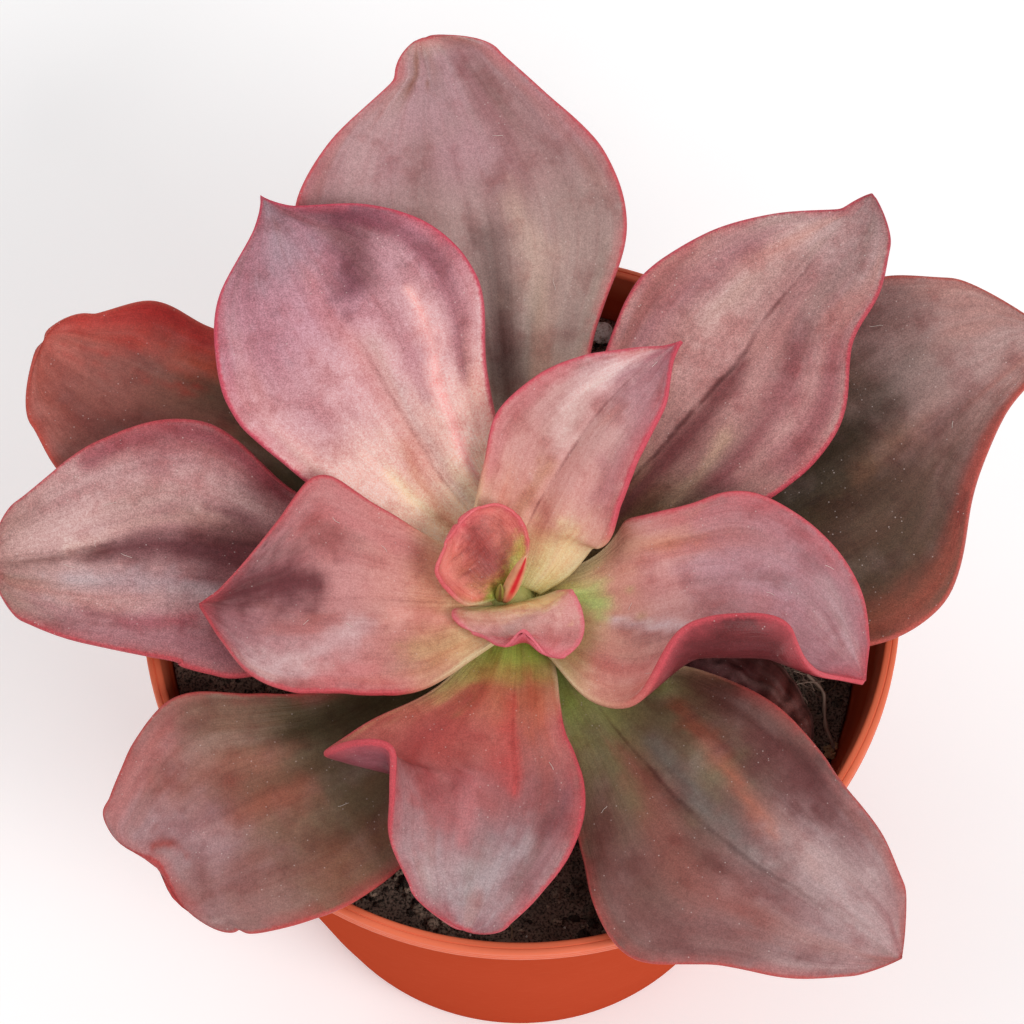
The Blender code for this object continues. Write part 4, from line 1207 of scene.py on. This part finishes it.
            (0.45, 0.75, 0.65, 0.85, 0.12, 0.1, (198, 110, 112), 0.4),
        ),
        rim=(198, 72, 80), rim_width=1.1, under=((180, 160, 110), (150, 80, 84)),
    ),
    Blade(
        "leaf_03", "rose_leaf", 59, point=1.3,
        rib=(
            (2, 0.5, 11), (5.5, 1.4, 14), (10.5, 3, 18), (18.5, 2.7, 23), (26, 1.4, 28), (35, -2, 33),
            (41.5, -5.5, 36),
        ),
        left=(4, 7.5, 9.8, 12.6, 11, 8, 4, 1), right=(4, 10, 13, 11.8, 10.5, 9, 6.5, 2),
        curl_left=(30, 30, 25, 20, 20, 15, 10, 10), curl_right=(20, 20, 20, 20, 20, 20, 15, 10),
        folds=(
            (0.15, 0.8, 0.0, 0.0, -0.8, 0.07), (0.2, 0.8, 0.4, 0.4, 0.5, 0.18),
            (0.2, 0.7, -0.3, -0.35, 0.4, 0.12),
        ),
        along=(
            (0, (206, 194, 130)), (0.14, (214, 180, 144)), (0.26, (210, 156, 142)), (0.42, (204, 150, 144)),
            (0.6, (198, 152, 148)), (0.8, (180, 134, 138)), (1, (150, 96, 106)),
        ),
        strokes=(
            # A pale stroke over the left half towards the tip: a painted highlight.
            (0.48, 0.1, 0.85, 0.62, 0.12, 0.3, (234, 202, 198), 0.75),
            (0.22, 0.25, 0.42, 0.1, 0.14, 0.08, (176, 122, 96), 0.7),
            (0.06, -0.45, 0.26, -0.55, 0.3, 0.15, (232, 216, 168), 0.65),
            (0.45, -0.75, 0.85, -0.75, 0.2, 0.2, (170, 108, 114), 0.6),
            (0.3, 0.88, 0.7, 0.85, 0.12, 0.12, (196, 112, 118), 0.5),
            (0.85, -0.1, 0.98, 0.0, 0.3, 0.4, (166, 114, 120), 0.6),
        ),
        rim=(210, 72, 90), rim_width=1.2, under=((180, 160, 104), (158, 84, 92)), crease=0.6,
    ),
)
for blade in MIDDLE_LEAVES:
    grow_blade(blade, mauve_finishes if blade.slot == "mauve_leaf" else rose_finishes)


# The heart is two young leaves, thick and glossy under a thin wax: a cup with a dark red tip, and a broad
# low one with a dent where its tip is drawn back. The next two stand closed on the stem's tip between them.
HEART_RIM = (226, 110, 122)
TIP_RED = (170, 30, 46)

heart_finishes = both_sides("heart", 0.34)
HEART_LEAVES = (
    Blade(
        "leaf_02", "heart_skin", 280, point=0.5, thickness=0.6, notch=(3, 2.5, 3), sweep_left=(-11, 3),
        sweep_right=(-1.5, -3.5),
        rib=((1, 0, 12), (3, 0, 15), (5.5, 0, 17.2), (8.5, 0.2, 18.2), (11, 0, 18.8), (12.7, -0.3, 19)),
        left=(2.5, 5.5, 7.8, 9, 9.8, 9.8, 8.6, 6.5), right=(2.5, 6, 8.8, 9.8, 8.8, 7.2, 5.2, 3.4),
        curl_left=(10, 10, 10, 10, 5, 0, 0, 0), curl_right=(10, 20, 20, 20, 10, 0, 0, 0),
        ridges=(),
        along=(
            (0, (190, 192, 120)), (0.2, (210, 188, 140)), (0.4, (218, 174, 152)), (0.65, (208, 154, 148)),
            (0.85, (192, 132, 130)), (1, (204, 108, 114)),
        ),
        strokes=(
            (0.05, 0.3, 0.38, 0.6, 0.45, 0.4, (232, 206, 156), 0.85),
            (0.55, 0.1, 0.72, -0.3, 0.3, 0.35, (180, 140, 134), 0.7),
            (0.86, -0.3, 0.99, -0.3, 0.25, 0.34, (180, 44, 54), 0.85),
        ),
        rim=HEART_RIM, rim_width=1.4, under=((190, 180, 120), (196, 90, 100)), crease=0,
    ),
    Blade(
        "leaf_01", "heart_skin", 130, point=0.5, thickness=0.6, sweep_left=(-2, 6),
        rib=((1, 0, 13), (3, 0, 16), (6, 0, 18), (8.5, 0.3, 20), (11, 1, 22.5)),
        left=(2.5, 5.5, 8.5, 9.8, 10, 9, 7.3, 5), right=(2.5, 4, 6, 7.2, 7.8, 7.5, 6.4, 4.3),
        curl_left=(10, 30, 50, 60, 60, 60, 55, 50), curl_right=(10, 30, 50, 60, 60, 60, 60, 50),
        ridges=(),
        along=(
            (0, (150, 168, 82)), (0.1, (170, 176, 92)), (0.25, (190, 138, 96)), (0.45, (186, 114, 94)),
            (0.65, (212, 126, 114)), (0.85, (226, 136, 128)), (1, (226, 132, 128)),
        ),
        strokes=(
            (0.0, -0.2, 0.45, -0.9, 0.4, 0.16, (176, 184, 96), 0.85),
            (0.35, 0.05, 0.85, -0.1, 0.45, 0.35, (152, 74, 72), 0.9),
            # Paler pink along the left margin: a painted highlight.
            (0.2, 0.75, 0.8, 0.8, 0.22, 0.25, (234, 150, 140), 0.75),
            (0.96, -0.1, 1.0, -0.15, 0.1, 0.15, TIP_RED, 0.9),
        ),
        rim=(226, 102, 108), rim_width=1.2, under=((170, 180, 100), (206, 108, 108)), crease=0,
    ),
)
for blade in HEART_LEAVES:
    grow_blade(blade, heart_finishes)

BUD_SIDES = 32
BUD_RINGS = 18
BUD_SHAPE = ((0, 0.35), (0.1, 0.75), (0.35, 1.0), (0.7, 0.75), (0.9, 0.36), (1, 0.0))
BUD_FURROW = 0.22
BUD_FLATNESS = 0.86
FAR_FROM_MARGIN = 9.0
BUD_POWDER = 0.2


def grow_bud(name, node, foot, tip, radius, pale, deep):
    """A closed young leaf: a spindle, a little flattened, with a furrow down its outer side."""
    length = math.dist(foot, tip)
    steps = [k / BUD_RINGS for k in range(BUD_RINGS + 1)]
    swell = [smooth_through(*zip(*BUD_SHAPE), step) for step in steps]
    bm = bmesh.new()
    skin, rim = (bm.verts.layers.float_color.new(name) for name in ("skin", "rim"))
    margin, powder = (bm.verts.layers.float.new(name) for name in ("margin", "powder"))
    turned(bm, [(0, 0), *[(radius * s, length * step) for s, step in zip(swell, steps)]], BUD_SIDES)
    for vert in bm.verts:
        angle = math.atan2(vert.co.y, vert.co.x)
        furrow = math.exp(-((angle + math.pi / 2) / 0.45) ** 2)
        share = vert.co.z / length
        vert[skin] = Vector(pale).lerp(Vector(deep), min(furrow * 1.3, 1) * min(share * 3, 1))
        vert[rim] = pale
        vert[margin] = FAR_FROM_MARGIN
        vert[powder] = BUD_POWDER
        vert.co.xy *= 1 - BUD_FURROW * furrow * math.sin(math.pi * share)
        vert.co.x *= BUD_FLATNESS
    lean = Vector((0, 0, 1)).rotation_difference(Vector(tip) - Vector(foot)).to_matrix()
    bmesh.ops.rotate(bm, cent=(0, 0, 0), matrix=lean, verts=bm.verts)
    bmesh.ops.translate(bm, verts=bm.verts, vec=(STEM_AXIS.x + foot[0], STEM_AXIS.y + foot[1], foot[2]))
    settle(name, bm, [heart_finishes[0]], "heart_skin", node)


grow_bud(
    "bud_large", "heart_bud_1", (-1.0, -0.7, 112.2), (2.4, 2.2, 123.5), 1.4,
    dye(222, 176, 140), dye(212, 56, 64),
)
grow_bud(
    "bud_small", "heart_bud_2", (-1.8, -0.6, 112.2), (-1.6, -0.4, 118.2), 0.8,
    dye(150, 148, 80), dye(120, 96, 60),
)


# A little lint has settled on the plant: pale hairs of house dust, one or two millimetres long, that lie on
# the leaves and aren't fixed to them.
LINT_HAIRS = 24
LINT_RADIUS = 0.03
LINT_LIFT = 0.12
LINT_POINTS = 5
LINT_STEP = (0.006, 0.02)

lint_lines = []
for _ in range(LINT_HAIRS):
    blade = dice.choice(OUTER_LEAVES + MIDDLE_LEAVES)
    places = rib_places(blade.rib)
    t, v = dice.uniform(0.3, 0.9), dice.uniform(-0.8, 0.8)
    heading = dice.uniform(0, math.tau)
    line = []
    for _ in range(LINT_POINTS):
        where, _ = blade_point(blade, places, t, v)
        line.append((*(blade_place(blade, where) + Vector((0, 0, LINT_LIFT))), LINT_RADIUS))
        t += LINT_STEP[0] * math.cos(heading)
        v += LINT_STEP[1] * math.sin(heading)
        heading += dice.uniform(-0.4, 0.4)
    lint_lines.append(line)
settle("lint", threads(lint_lines), [fibre_finish((222, 200, 190), (246, 236, 228))], "rose_leaf")


# The studio is a white floor, lit a little from below, that fades into a white surround. A large soft lamp
# hangs high in front and to the right, a broad fill above and to the left, and the camera looks steeply down.
# The lamps and the camera are placed in metres.
FLOOR_HALF = 4000.0

floor_bm = bmesh.new()
bmesh.ops.create_grid(floor_bm, x_segments=1, y_segments=1, size=FLOOR_HALF)
floor_mesh = mesh_in_metres("floor", floor_bm)
floor_finish, floor_tree, floor_shader = new_finish("white_floor")
floor_patches = mottle(floor_tree, own_place(floor_tree), 40)
floor_tone = blended(floor_tree, floor_patches, dye(246, 246, 247), dye(250, 250, 250))
feed(floor_tree, floor_shader.inputs["Base Color"], floor_tone)
floor_shader.inputs["Roughness"].default_value = 0.9
floor_shader.inputs["Emission Color"].default_value = (1.0, 1.0, 1.0, 1.0)
floor_shader.inputs["Emission Strength"].default_value = 0.18
floor_mesh.materials.append(floor_finish)
floor = placed("floor", floor_mesh)

surround = bpy.data.worlds.new("white_surround")
surround.use_nodes = True
backdrop = surround.node_tree.nodes["Background"]
backdrop.inputs["Color"].default_value = (1.0, 1.0, 1.0, 1.0)
backdrop.inputs["Strength"].default_value = 0.55
bpy.context.scene.world = surround
bpy.context.scene.view_settings.view_transform = "Standard"


LAMP_TARGET = Vector((0, 0, 0.1))


def soft_lamp(name, place, size, power):
    """A square softbox that faces the plant."""
    lamp = bpy.data.lights.new(name, "AREA")
    lamp.shape = "SQUARE"
    lamp.size = size
    lamp.energy = power
    holder = placed(name, lamp)
    holder.location = place
    holder.rotation_euler = (LAMP_TARGET - Vector(place)).to_track_quat("-Z", "Y").to_euler()


soft_lamp("key_softbox", (0.55, -0.60, 0.95), 0.45, 6.0)
soft_lamp("fill_softbox", (-0.70, 0.35, 1.10), 0.9, 3.6)

CAMERA_TARGET = Vector((-0.00144, 0.01397, 0.100))
CAMERA_ELEVATION = math.radians(66.39)
CAMERA_DISTANCE = 0.75
LENS = 165.36

camera_data = bpy.data.cameras.new("camera")
camera_data.lens = LENS
camera_data.sensor_width = 36.0
camera_data.clip_start = 0.05
camera_data.clip_end = 20.0
camera = placed("camera", camera_data)
back = Vector((0, -math.cos(CAMERA_ELEVATION), math.sin(CAMERA_ELEVATION)))
camera.location = CAMERA_TARGET + back * CAMERA_DISTANCE
camera.rotation_euler = (-back).to_track_quat("-Z", "Y").to_euler()
bpy.context.scene.camera = camera
